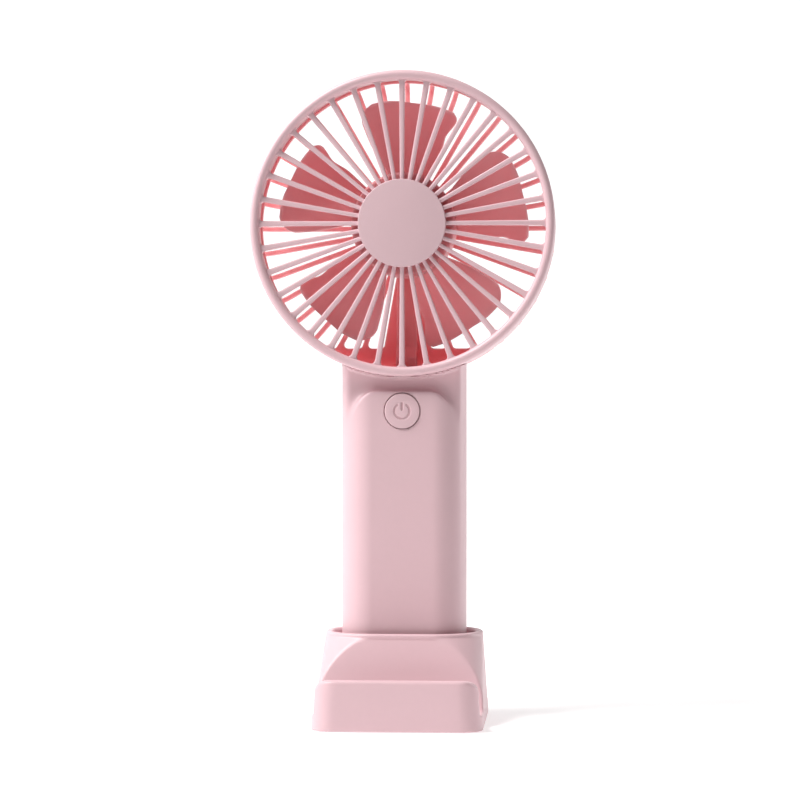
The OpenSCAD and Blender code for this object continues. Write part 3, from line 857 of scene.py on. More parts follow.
class FieldMesher:
    """Turns a signed distance field into a smooth closed mesh."""

    STEPS = 3

    def __init__(self, low: Corner, high: Corner, pitch: float, fine_y: Sequence[float] = ()) -> None:
        """Sets up the grid.

        Args:
            low: lowest corner of the grid.
            high: highest corner.
            pitch: size of a cell.
            fine_y: planes across Y that get thin cells on both sides.
        """
        self.pitch = pitch
        self.axes = [np.arange(a - 1.5 * pitch, b + 2.5 * pitch, pitch) for a, b in zip(low, high)]
        if fine_y:
            extra = [y + s * pitch / 4 for y in fine_y for s in (-3, -2, -1, 0, 1, 2, 3)]
            near = [v for v in self.axes[1] if all(abs(v - y) > pitch * 0.9 for y in fine_y)]
            self.axes[1] = np.array(sorted(near + extra))

    def build(self, name: str, shape: Field, sharp: float = 50.0) -> bpy.types.Object:
        """Makes a piece from a field.

        Args:
            name: the piece's name.
            shape: the field.
            sharp: angle above which an edge stays sharp.

        Returns:
            The piece.
        """
        xs, ys, zs = self.axes
        grid = np.meshgrid(xs, ys, zs, indexing="ij")
        values = shape(*grid).astype(np.float64)
        points, faces = self._net(values)
        points = self._settle(points, shape)
        mesh = bpy.data.meshes.new(name)
        mesh.from_pydata((points * MM).tolist(), [], faces.tolist())
        LOG.debug("%s has %d faces", name, len(faces))
        return finish_mesh(mesh, name, sharp, 0.0)

    def _net(self, values: Array) -> tuple[Array, Array]:
        """Lays one point in each cell that the surface crosses, and joins them.

        Args:
            values: the field on the grid.

        Returns:
            Points and four-sided faces.
        """
        shape = np.array(values.shape) - 1
        total = np.zeros((*shape, 3))
        hits = np.zeros(shape)
        edges = []
        for axis in range(3):
            first = np.take(values, range(values.shape[axis] - 1), axis)
            second = np.take(values, range(1, values.shape[axis]), axis)
            crossed = (first < 0) != (second < 0)
            where = np.argwhere(crossed)
            a, b = first[crossed], second[crossed]
            share = a / (a - b)
            place = np.stack([self.axes[i][where[:, i]] for i in range(3)], 1)
            span = self.axes[axis][where[:, axis] + 1] - self.axes[axis][where[:, axis]]
            place[:, axis] += share * span
            others = [i for i in range(3) if i != axis]
            for du in (0, -1):
                for dv in (0, -1):
                    cell = where.copy()
                    cell[:, others[0]] += du
                    cell[:, others[1]] += dv
                    index = tuple(cell.T)
                    np.add.at(total, index, place)
                    np.add.at(hits, index, 1)
            edges.append((where, a < 0, others))
        active = hits > 0
        number = np.full(shape, -1, int)
        number[active] = np.arange(active.sum())
        points = total[active] / hits[active][:, None]
        faces = []
        for axis, (where, inside, others) in enumerate(edges):
            quad = []
            for du, dv in ((0, 0), (-1, 0), (-1, -1), (0, -1)):
                cell = where.copy()
                cell[:, others[0]] += du
                cell[:, others[1]] += dv
                quad.append(number[tuple(cell.T)])
            quad = np.stack(quad, 1)
            flip = inside if axis != 1 else ~inside
            quad[flip] = quad[flip][:, ::-1]
            faces.append(quad)
        return points, np.concatenate(faces)

    def _settle(self, points: Array, shape: Field) -> Array:
        """Moves each point onto the surface.

        Args:
            points: points near it.
            shape: the field.

        Returns:
            The moved points.
        """
        reach = 0.02
        for _ in range(self.STEPS):
            here = shape(*points.T)
            slope = np.stack([
                (shape(*(points + reach * axis).T) - shape(*(points - reach * axis).T)) / (2 * reach)
                for axis in np.eye(3)
            ], 1)
            steep = np.maximum((slope ** 2).sum(1), 0.05)
            step = slope * (here / steep)[:, None]
            length = np.linalg.norm(step, axis=1, keepdims=True)
            limit = 0.4 * self.pitch
            points = points - step * np.minimum(1.0, limit / np.maximum(length, 1e-9))
        return points


# ---------------------------------------------------------------- sub-assemblies


@dataclass
class Bench:
    """What every sub-assembly works with."""

    paint: Paint = field(default_factory=Paint)

    def place(self, piece: bpy.types.Object, body: str, finish: Finish, *nodes: str) -> bpy.types.Object:
        """Dresses a piece, fixes it to its body and hides what it stands for.

        Args:
            piece: the object.
            body: the CAD body that it rides on.
            finish: what it is made of.
            nodes: CAD nodes that it replaces.

        Returns:
            The piece.
        """
        self.paint.on(piece, finish)
        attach(piece, body)
        if nodes:
            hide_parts(*nodes)
        LOG.info("%s: %d points, on %s", piece.name, len(piece.data.vertices), body)
        return piece


@dataclass
class FrontGuard:
    """The pull-off guard: a round ring, its ribs and the disc in the middle."""

    bench: Bench
    ribs: int = 36
    rib_width: float = 1.8
    rib_tip_width: float = 1.3
    rib_edge: float = 0.42
    ring_width: float = 3.0
    ring_proud: float = 1.5
    rib_depth: float = 2.5
    slot_corner: float = 1.5
    root_corner: float = 0.3
    slot_bulge: float = 5.0
    seat_depth: float = 1.4
    spigot_step: float = 1.5
    spigot_chamfer: float = 0.25
    disc_thickness: float = 1.4
    disc_edge: float = 0.3

    def __post_init__(self) -> None:
        """Reads the head's place from the frame."""
        guard, disc = Box.of("front_guard"), Box.of("guard_disc")
        self.head_z = guard.mid(2)
        self.radius = guard.size(0) / 2
        self.front = guard.low[1]
        self.back = guard.high[1]
        self.disc_radius = disc.size(0) / 2
        self.disc_front = disc.low[1]
        self.bore = self.radius - self.ring_width

    def build(self) -> None:
        """Builds the guard's pieces."""
        self._ring()
        self._ribs()
        self._disc()

    def _ring(self) -> None:
        """Builds the ring: a round bead in front and a spigot that enters the drum."""
        bead = self.ring_width / 2
        rib_front = self.front + self.ring_proud
        seat = self.back - self.seat_depth - 0.05
        spigot, chamfer = self.radius - self.spigot_step, self.spigot_chamfer
        profile = arc((self.bore + bead, self.front + bead), bead, 0, -180, 16)
        profile += [(self.bore, rib_front + self.rib_depth), (self.bore + 0.1, self.back - chamfer)]
        profile += [(self.bore + 0.1 + chamfer, self.back), (spigot - chamfer, self.back)]
        profile += [(spigot, self.back - chamfer), (spigot, seat)]
        profile += [(self.radius - chamfer, seat), (self.radius, seat - chamfer)]
        ring = turned(profile, self.head_z, 288).piece("Front_Guard_Ring", 50.0)
        self.bench.place(ring, "front_guard", Finish.PINK, "front_guard")

    def _slot(self, index: int) -> list[Point2]:
        """Returns the outline of the gap after a rib.

        Args:
            index: the rib's number, clockwise from straight up.

        Returns:
            The outline in X and Z.
        """
        pitch = TAU / self.ribs
        inner, outer = self.disc_radius - 1.2, self.bore + 0.15

        def side(radius: float, width: float, sign: int) -> float:
            """Returns the angle of a rib's side at a radius."""
            middle = index * pitch if sign > 0 else (index + 1) * pitch
            return middle + sign * math.asin(width / 2 / radius)

        def at(radius: float, angle: float) -> Point2:
            """Returns a point of the head from its radius and angle."""
            return radius * math.sin(angle), self.head_z + radius * math.cos(angle)

        first, last = side(outer, self.rib_width, 1), side(outer, self.rib_width, -1)
        corners = [(*at(inner, side(inner, self.rib_tip_width, 1)), self.root_corner)]
        corners.append((*at(outer, first), self.slot_corner))
        corners.append((*at(outer / math.cos((last - first) / 2), (first + last) / 2), self.slot_bulge))
        corners.append((*at(outer, last), self.slot_corner))
        corners.append((*at(inner, side(inner, self.rib_tip_width, -1)), self.root_corner))
        return filleted(corners, 6)

    def _ribs(self) -> None:
        """Builds the ribs as one plate with gaps."""
        rib_front = self.front + self.ring_proud
        rim = self.radius - 0.6
        outlines = [arc((0.0, self.head_z), rim, 0, 360 * 239 / 240, 239)]
        outlines += [self._slot(index) for index in range(self.ribs)]
        ribs = plate("Front_Guard_Ribs", outlines, rib_front, rib_front + self.rib_depth, self.rib_edge)
        self.bench.place(ribs, "front_guard", Finish.PINK)

    def _disc(self) -> None:
        """Builds the disc in the middle, with a crisp turned-down rim."""
        front, radius, edge = self.disc_front, self.disc_radius, self.disc_edge
        back = front + self.disc_thickness
        profile = [(0.0, front)] + arc((radius - edge, front + edge), edge, -90, 0, 6)
        profile += [(radius, back), (0.0, back)]
        disc = turned(profile, self.head_z, 192).piece("Guard_Disc", 50.0, 0.002)
        self.bench.place(disc, "front_guard", Finish.DISC, "guard_disc")


@dataclass
class RearGuard:
    """The cage behind the impeller, with the motor cup and the lead duct, in coral that is painted shade
    inside the head.
    """

    bench: Bench
    ribs: int = 36
    rib_width: float = 1.6
    thickness: float = 2.0
    wall: float = 1.2
    corner: float = 6.0
    web_height: float = 9.6
    spine_angle: float = 20.0
    slot_corner: float = 1.3
    ring_depth: float = 1.6
    lip: float = 0.8
    guard_depth: float = 5.5
    hub_margin: float = 2.6
    hub_corner: float = 0.4
    motor_gap: float = 0.05
    cup_wall: float = 1.6
    cup_flare: float = 0.5
    ear_radius: float = 1.5
    duct_width: float = 6.8
    duct_depth: float = 3.6
    duct_step: float = 3.8
    duct_turn: float = 9.0

    def __post_init__(self) -> None:
        """Reads the head's place from the frame."""
        guard, can = Box.of("rear_guard"), Box.of("motor_can")
        drum = Box.of("rear_shell")
        self.head_z = drum.high[2] - drum.size(0) / 2
        self.radius = guard.size(0) / 2
        self.back = guard.high[1]
        self.cup_front = guard.low[1]
        self.motor_radius = can.size(0) / 2
        self.front = Box.of("front_guard").low[1] + self.guard_depth + Grip.drum_depth

    def build(self) -> None:
        """Builds the cage, the motor cup and the duct."""
        cage = self._bowl()
        Workshop.cut(cage, self._slots())
        Workshop.round_edges(cage, 0.28, 3, 38.0)
        # painted shade: the cage takes the blades' coral to stand for the shade inside the head
        self.bench.place(cage, "fan", Finish.CORAL_AND_INNER_SHADE, "rear_guard")
        self._cup()
        self._duct()

    def _bowl(self) -> bpy.types.Object:
        """Turns the cage, before its gaps are cut.

        Returns:
            The bowl with its front ring.
        """
        inner = self.corner - self.thickness
        bore = self.radius - self.wall
        lip = bore - self.lip
        profile = [(lip, self.front + self.ring_depth), (lip, self.front), (self.radius, self.front)]
        profile += arc((self.radius - self.corner, self.back - self.corner), self.corner, 0, 90, 12)
        profile += [(0.0, self.back), (0.0, self.back - self.thickness)]
        profile += arc((bore - inner, self.back - self.thickness - inner), inner, 90, 0, 10)
        profile += [(bore, self.front + self.ring_depth)]
        return turned(profile, self.head_z, 288).piece("Rear_Guard", 50.0, 0.002)

    def _slots(self) -> bpy.types.Object:
        """Joins the gaps between the ribs into one cutting tool.

        Returns:
            The tool.
        """
        tool = Shape()
        pitch = 360.0 / self.ribs
        hub = self.motor_radius + self.hub_margin
        chord = -self.radius + self.web_height
        for index in range(self.ribs):
            middle = (index + 0.5) * pitch
            if abs(middle - 180.0) < self.spine_angle / 2:
                continue
            outline = self._slot(math.radians(middle), math.radians(pitch), hub, chord)
            start = self.front + self.ring_depth
            gap = prism([(x, self.head_z + z) for x, z in outline], start, self.back + 2.0)
            tool.add(gap.points, gap.faces)
        return tool.piece("Rear_Gaps")

    def _slot(self, middle: float, pitch: float, hub: float, chord: float) -> list[Point2]:
        """Returns one gap's outline from the middle of the head.

        Args:
            middle: the gap's angle.
            pitch: angle from rib to rib.
            hub: radius where the gap starts.
            chord: height of the closed web's edge.

        Returns:
            The outline in X and Z.
        """
        far = self.radius + 3.0

        def at(radius: float, side: int) -> Point2:
            """Returns a point on a rib's side."""
            angle = middle + side * (pitch / 2 - math.asin(self.rib_width / 2 / radius))
            return radius * math.sin(angle), radius * math.cos(angle)

        def reach(side: int) -> tuple[float, float, float]:
            """Finds the gap's outer corner on one side, where the web may stop it.

            Args:
                side: -1 or 1.

            Returns:
                Its place and its fillet.
            """
            x, z = at(far, side)
            if z > chord:
                return x, z, 0.0
            x0, z0 = at(hub, side)
            share = (chord - z0) / (z - z0)
            return x0 + (x - x0) * share, chord, self.slot_corner

        corners = [(*at(hub, -1), self.hub_corner), reach(-1), reach(1), (*at(hub, 1), self.hub_corner)]
        return filleted(corners, 5)

    def _cup(self) -> None:
        """Builds the cup that holds the motor."""
        inner = self.motor_radius + self.motor_gap
        outer = inner + self.cup_wall
        front, back = self.cup_front + 1.0, self.back - self.thickness + 0.3
        foot = outer + self.cup_flare
        corners = [(inner, front, 0.2), (outer, front, 0.5), (foot, back, 0.0), (inner, back, 0.0)]
        cup = turned(filleted(corners, 4), self.head_z, 120).piece("Motor_Cup")
        # painted shade: the cup's coral stands for the shade inside the head
        self.bench.place(cup, "fan", Finish.CORAL_AND_INNER_SHADE)
        for side in (-1, 1):
            centre = (side * (self.motor_radius + self.ear_radius), self.head_z)
            ear = prism(arc(centre, self.ear_radius, 0, 345, 23), self.cup_front, back)
            name = "Cup_Ear_Left" if side < 0 else "Cup_Ear_Right"
            made = ear.piece(name)
            Workshop.round_edges(made, 0.2)
            # painted shade: the ears' coral stands for the shade inside the head
            self.bench.place(made, "fan", Finish.CORAL_AND_INNER_SHADE)

    def _duct(self) -> None:
        """Builds the duct that covers the motor leads down the spine."""
        half = self.duct_width / 2
        back = self.back - self.thickness + 0.2
        front = self.back - self.thickness - self.duct_depth
        top = self.head_z - self.motor_radius - 1.0
        turn = self.head_z - self.radius + self.duct_turn
        bottom = self.head_z - self.radius + 1.0
        low = front - self.duct_step
        side = filleted([(front, top, 0.0), (back, top, 0.0), (back, bottom, 0.0),
                         (low, bottom, 0.0), (low, turn - 3.0, 2.0), (front, turn + 1.0, 2.0)], 5)
        count = len(side)
        points = [(-half, y, z) for y, z in side] + [(half, y, z) for y, z in side]
        faces = [[i, (i + 1) % count, count + (i + 1) % count, count + i] for i in range(count)]
        faces += [list(reversed(range(count))), [count + i for i in range(count)]]
        duct = Shape().add(points, faces).piece("Lead_Duct")
        Workshop.round_edges(duct, 0.35)
        # painted shade: the duct's coral stands for the shade inside the head
        self.bench.place(duct, "fan", Finish.CORAL_AND_INNER_SHADE)


@dataclass
class Impeller:
    """Five pitched blades on a round hub."""

    bench: Bench
    blades: int = 5
    hub: float = 17.3
    hub_wall: float = 1.4
    boss: float = 3.4
    root_overlap: float = 0.6
    phase: float = 2.3
    root_lead: float = 18.3
    tip_lead: float = 24.3
    trail: float = 23.6
    waist: float = 2.1
    hub_pitch: float = 34.0
    tip_pitch: float = 21.0
    lead_corner: float = 5.6
    trail_corner: float = 2.2
    thickness: float = 1.3
    camber: float = 1.2
    rows: int = 26
    columns: int = 28

    def __post_init__(self) -> None:
        """Reads the impeller's place from the frame."""
        box, shell = Box.of("impeller"), Box.of("rear_shell")
        self.head_z = shell.high[2] - shell.size(0) / 2
        self.front = box.low[1]
        self.back = box.high[1]
        self.tip = box.high[2] - self.head_z
        self.middle = (self.front + self.back) / 2 + 0.5

    def build(self) -> None:
        """Builds the hub and the blades."""
        self._hub()
        self._blades()

    def _hub(self) -> None:
        """Builds the hub as a deep cup with a rounded front."""
        wall, draft = self.hub_wall, 0.2
        floor, boss_end = self.front + wall, Box.of("motor_can").low[1] - 0.6
        corners = [(0.0, self.front, 0.0), (self.hub - draft, self.front, 1.0), (self.hub, self.back, 0.3),
                   (self.hub - wall, self.back, 0.3), (self.hub - wall - draft, floor, 0.8),
                   (self.boss, floor, 0.4), (self.boss - 2 * draft, boss_end, 0.3), (0.0, boss_end, 0.0)]
        hub = turned(filleted(corners, 5), self.head_z, 144).piece("Impeller_Hub", 50.0, 0.002)
        self.bench.place(hub, "impeller", Finish.CORAL_AND_INNER_SHADE, "impeller")

    def _place(self, u: float, v: float) -> tuple[float, float, float]:
        """Returns a point of a blade's middle surface.

        Args:
            u: -1 at the leading edge to 1 at the trailing edge.
            v: 0 at the hub to 1 at the tip.

        Returns:
            Angle in degrees from the blade's middle, radius and Y.
        """
        root = self.hub - self.root_overlap
        corner = self.lead_corner if u < 0 else self.trail_corner
        knee = 1 - corner / (self.tip - root)
        if v <= knee:
            radius, inset = root + v * (self.tip - root), 0.0
        else:
            bend = (v - knee) / (1 - knee) * math.pi / 2
            radius = self.tip - corner + corner * math.sin(bend)
            inset = corner * (1 - math.cos(bend))
        share = (radius - root) / (self.tip - root)
        swell = 1 - max(0.0, 1 - share / 0.55) ** 2
        lead = self.root_lead + (self.tip_lead - self.root_lead) * swell
        trail = self.trail - self.waist * math.exp(-((share - 0.66) / 0.16) ** 2)
        half = lead if u < 0 else trail
        angle = u * (half - math.degrees(inset / radius))
        pitch = math.radians(self.hub_pitch + (self.tip_pitch - self.hub_pitch) * share)
        along = math.radians(angle) * radius
        y = self.middle + along * math.tan(pitch) - self.camber * (1 - u * u)
        return angle, radius, y

    def _blades(self) -> None:
        """Builds the blades as one thin, cambered shape each."""
        shape = Shape()
        for blade in range(self.blades):
            turn = self.phase + blade * 360.0 / self.blades
            points = []
            for row in range(self.rows + 1):
                v = 1 - (1 - row / self.rows) ** 1.6
                for column in range(self.columns + 1):
                    u = math.sin((column / self.columns - 0.5) * math.pi)
                    angle, radius, y = self._place(u, v)
                    spun = math.radians(turn + angle)
                    points.append((radius * math.sin(spun), y, self.head_z + radius * math.cos(spun)))
            wide = self.columns + 1
            faces = [[r * wide + c, r * wide + c + 1, (r + 1) * wide + c + 1, (r + 1) * wide + c]
                     for r in range(self.rows) for c in range(self.columns)]
            shape.add(points, faces)
        blades = shape.piece("Impeller_Blades", 60.0)
        solid = blades.modifiers.new("Thickness", "SOLIDIFY")
        solid.thickness = self.thickness * MM
        solid.offset = 0.0
        solid.use_even_offset = True
        Workshop.round_edges(blades, 0.45, 3, 50.0)
        self.bench.place(blades, "impeller", Finish.CORAL_AND_INNER_SHADE)


@dataclass
class Grip:
    """The two shells of the grip and the drum round the head."""

    bench: Bench
    corner: float = 10.5
    wall: float = 1.8
    drum_depth: float = 15.0
    drum_wall: float = 1.2
    step: float = 4.0
    step_sweep: float = 2.4
    face_half: float = 18.4
    face_corner: float = 9.6
    face_stretch: float = 17.0 / 9.6
    face_drop: float = 4.8
    button_drop: float = 6.6
    button_gap: float = 0.2
    collar: float = 0.75
    post_radius: float = 3.1
    counterbore: float = 2.1
    screw_head: float = 1.9
    seam: float = 0.22
    pitch: float = 0.5

    def __post_init__(self) -> None:
        """Reads the grip's place from the frame."""
        front, back = Box.of("front_shell"), Box.of("rear_shell")
        self.half_w = front.size(0) / 2
        self.front = front.low[1]
        self.parting = front.high[1]
        self.half_d = self.parting - self.front
        self.base = front.low[2]
        self.radius = back.size(0) / 2
        self.head_z = back.high[2] - self.radius
        self.drum_front = back.low[1]
        self.drum_back = self.drum_front + self.drum_depth
        self.top = self.head_z - math.sqrt(self.radius ** 2 - self.half_w ** 2) + 1
        self.face_top = self.head_z - self.radius - self.face_drop
        self.button_z = self.face_top - self.button_drop
        self.button_hole = Box.of("power_button").size(0) / 2 - PowerButton.flange + self.button_gap

    def build(self) -> None:
        """Builds the shells and the drum."""
        self._drum()
        self._front_shell()
        self._rear_shell()

    def _drum(self) -> None:
        """Builds the drum round the head."""
        bore = self.radius - self.drum_wall
        corners = [(self.radius, self.drum_front, 0.25), (self.radius, self.drum_back, 0.25),
                   (bore, self.drum_back, 0.2), (bore, self.drum_front, 0.2)]
        drum = turned(filleted(corners, 4), self.head_z, 288).piece("Head_Drum", 50.0)
        self.bench.place(drum, "fan", Finish.PINK)

    def _skin(self, x: Array, y: Array, z: Array, inset: float, edge: float) -> Array:
        """Distance to the grip's outside, drawn smaller by an inset.

        Args:
            x: X of the points.
            y: Y of the points.
            z: Z of the points.
            inset: how much smaller.
            edge: radius of the edge at the base.

        Returns:
            Signed distance.
        """
        plan = rounded_box(x, y - self.parting, self.half_w - inset, self.half_d - inset, self.corner - inset)
        return both(plan, self.base + inset - z, edge)

    def _above_face(self, x: Array, y: Array, z: Array, inset: float) -> Array:
        """Distance to the space that is cut away above the raised face.

        Args:
            x: X of the points.
            y: Y of the points.
            z: Z of the points.
            inset: how much smaller the face is drawn.

        Returns:
            Signed distance.
        """
        half, radius = self.face_half - inset, self.face_corner - inset
        squeezed = (z - self.face_top + inset) / self.face_stretch + 40.0
        outline = rounded_box(x, squeezed, half, 40.0, radius)
        depth = y - (self.front + self.step + (self.wall if inset > 0 else 0.0))
        below = (self.face_top - 30.0) - z
        return both(both(-outline, depth, self.step_sweep), below, 0.5)

    def _under_drum(self, x: Array, z: Array) -> Array:
        """Distance to the space under the drum."""
        return self.radius + 0.02 - np.hypot(x, z - self.head_z)

    def _front_shell(self) -> None:
        """Builds the front shell with its raised face and recessed neck."""

        def shape(x: Array, y: Array, z: Array) -> Array:
            """Distance to the front shell.

            Args:
                x: X of the points.
                y: Y of the points.
                z: Z of the points.

            Returns:
                Signed distance.
            """
            skin = self._skin(x, y, z, 0.0, 2.0)
            outside = without(skin, self._above_face(x, y, z, 0.0), 0.9)
            reach = np.hypot(x, z - self.head_z) - self.radius - self.collar
            ring = np.maximum(reach, self.drum_front + 0.3 - y)
            outside = either(outside, both(ring, skin, 0.3), 0.5)
            inside = without(self._skin(x, y, z, self.wall, 1.0), self._above_face(x, y, z, 1.0), 0.5)
            shell = without(outside, inside, 0.2)
            shell = both(shell, y - self.parting + 0.02, self.seam)
            shell = both(shell, self._under_drum(x, z), 0.15)
            button = np.hypot(x, z - self.button_z) - self.button_hole
            return without(shell, np.maximum(button, y - self.front - 3.6), 0.2)

        low = (-self.half_w, self.front, self.base)
        high = (self.half_w, self.parting, self.top)
        shell = FieldMesher(low, high, self.pitch, (self.parting,)).build("Grip_Front_Half", shape)
        self.bench.place(shell, "fan", Finish.PINK, "front_shell")

    def _rear_shell(self) -> None:
        """Builds the rear shell with its USB mouth and screw holes."""
        usb, screws = Box.of("usb_shell"), Box.of("shell_screws")
        usb_z, post_x = usb.mid(2), screws.high[0] - self.screw_head
        back = self.parting + self.half_d

        def shape(x: Array, y: Array, z: Array) -> Array:
            """Distance to the rear shell.

            Args:
                x: X of the points.
                y: Y of the points.
                z: Z of the points.

            Returns:
                Signed distance.
            """
            shell = without(self._skin(x, y, z, 0.0, 2.0), self._skin(x, y, z, self.wall, 1.0), 0.2)
            for side in (-1, 1):
                for height in (screws.low[2] + self.screw_head, screws.high[2] - self.screw_head):
                    post = np.hypot(x - side * post_x, z - height)
                    inside = np.maximum(self._skin(x, y, z, 0.4, 1.0), self.parting - y)
                    boss = np.maximum(post - self.post_radius, inside)
                    shell = either(shell, boss, 0.4)
                    recess = np.maximum(post - self.counterbore, screws.high[1] - 1.5 - y)
                    shell = without(shell, recess, 0.25)
            shell = both(shell, self.parting - y + 0.02, self.seam)
            shell = both(shell, self._under_drum(x, z), 0.15)
            half_w, half_h = usb.size(0) / 2 + 0.3, usb.size(2) / 2 + 0.3
            mouth = rounded_box(x, z - usb_z, half_w, half_h, half_h - 0.1)
            return without(shell, np.maximum(mouth, back - 5.0 - y), 0.35)

        low = (-self.half_w, self.parting, self.base)
        high = (self.half_w, back, self.top)
        shell = FieldMesher(low, high, self.pitch, (self.parting,)).build("Grip_Rear_Half", shape)
        self.bench.place(shell, "fan", Finish.PINK, "rear_shell")


@dataclass
class PowerButton:
    """The round button with its engraved power symbol."""

    bench: Bench
    flange: float = 1.0
    engraving: float = 0.4
    stroke: float = 0.5
    symbol_radius: float = 2.5
    gap_angle: float = 38.0
    edge: float = 0.35
    skin: float = 1.9
    skirt: float = 0.8
    plunger: float = 1.7

    def build(self) -> None:
        """Builds the button and its symbol."""
        box = Box.of("power_button")
        radius = box.size(0) / 2 - self.flange
        z = Box.of("switch_plunger").mid(2)
        front, back = box.low[1], box.high[1]
        cap_back = front + self.skin
        skirt_back, floor = cap_back + self.skirt, front + self.engraving
        rim = arc((0.0, z), radius, 0, 360 * 119 / 120, 119)
        outlines = [rim, self._arc(z), self._stroke(z)]
        face = plate("Button_Face", outlines, front, front + self.edge * 2 + 0.1, self.edge)
        self.bench.place(face, "button", Finish.PINK, "power_button")
        corners = [(0.0, floor, 0.0), (radius - 0.5, floor, 0.0),
                   (radius, front + 0.6, 0.0), (radius, cap_back, 0.0), (radius + self.flange, cap_back, 0.2),
                   (radius + self.flange, skirt_back, 0.2), (self.plunger, skirt_back, 0.4),
                   (self.plunger, back, 0.2), (0.0, back, 0.0)]
        body = turned(filleted(corners, 4), z, 120).piece("Button_Body", 40.0, 0.002)
        limit = bmesh.new()
        limit.from_mesh(body.data)
        top = Vector((0.0, 0.0, box.high[2] * MM - 1e-5))
        loose = bmesh.ops.bisect_plane(limit, geom=limit.verts[:] + limit.edges[:] + limit.faces[:],
                                       plane_co=top, plane_no=(0, 0, 1), clear_outer=True)
        edges = [item for item in loose["geom_cut"] if isinstance(item, bmesh.types.BMEdge)]
        bmesh.ops.holes_fill(limit, edges=edges)
        limit.to_mesh(body.data)
        limit.free()
        self.bench.place(body, "button", Finish.PINK)

    def _arc(self, z: float) -> list[Point2]:
        """Draws the symbol's open ring.

        Args:
            z: height of its middle.

        Returns:
            The outline in X and Z.
        """
        half, radius = self.stroke / 2, self.symbol_radius
        start, end = 90.0 - self.gap_angle, -270.0 + self.gap_angle

        def cap(angle: float, first: float, last: float) -> list[Point2]:
            """Returns the round end of the ring at an angle."""
            tip = math.radians(angle)
            return arc((radius * math.cos(tip), z + radius * math.sin(tip)), half, first, last, 6)[1:-1]

        outline = arc((0.0, z), radius + half, start, end, 40) + cap(end, end, end - 180)
        return outline + arc((0.0, z), radius - half, end, start, 40) + cap(start, start + 180, start)

    def _stroke(self, z: float) -> list[Point2]:
        """Draws the symbol's upright stroke.

        Args:
            z: height of the symbol's middle.

        Returns:
            The outline in X and Z.
        """
        half, low, high = self.stroke / 2, z + 0.3, z + self.symbol_radius + 0.35
        corners = ((-half, low), (half, low), (half, high), (-half, high))
        return filleted([(x, y, half * 0.9) for x, y in corners], 4)


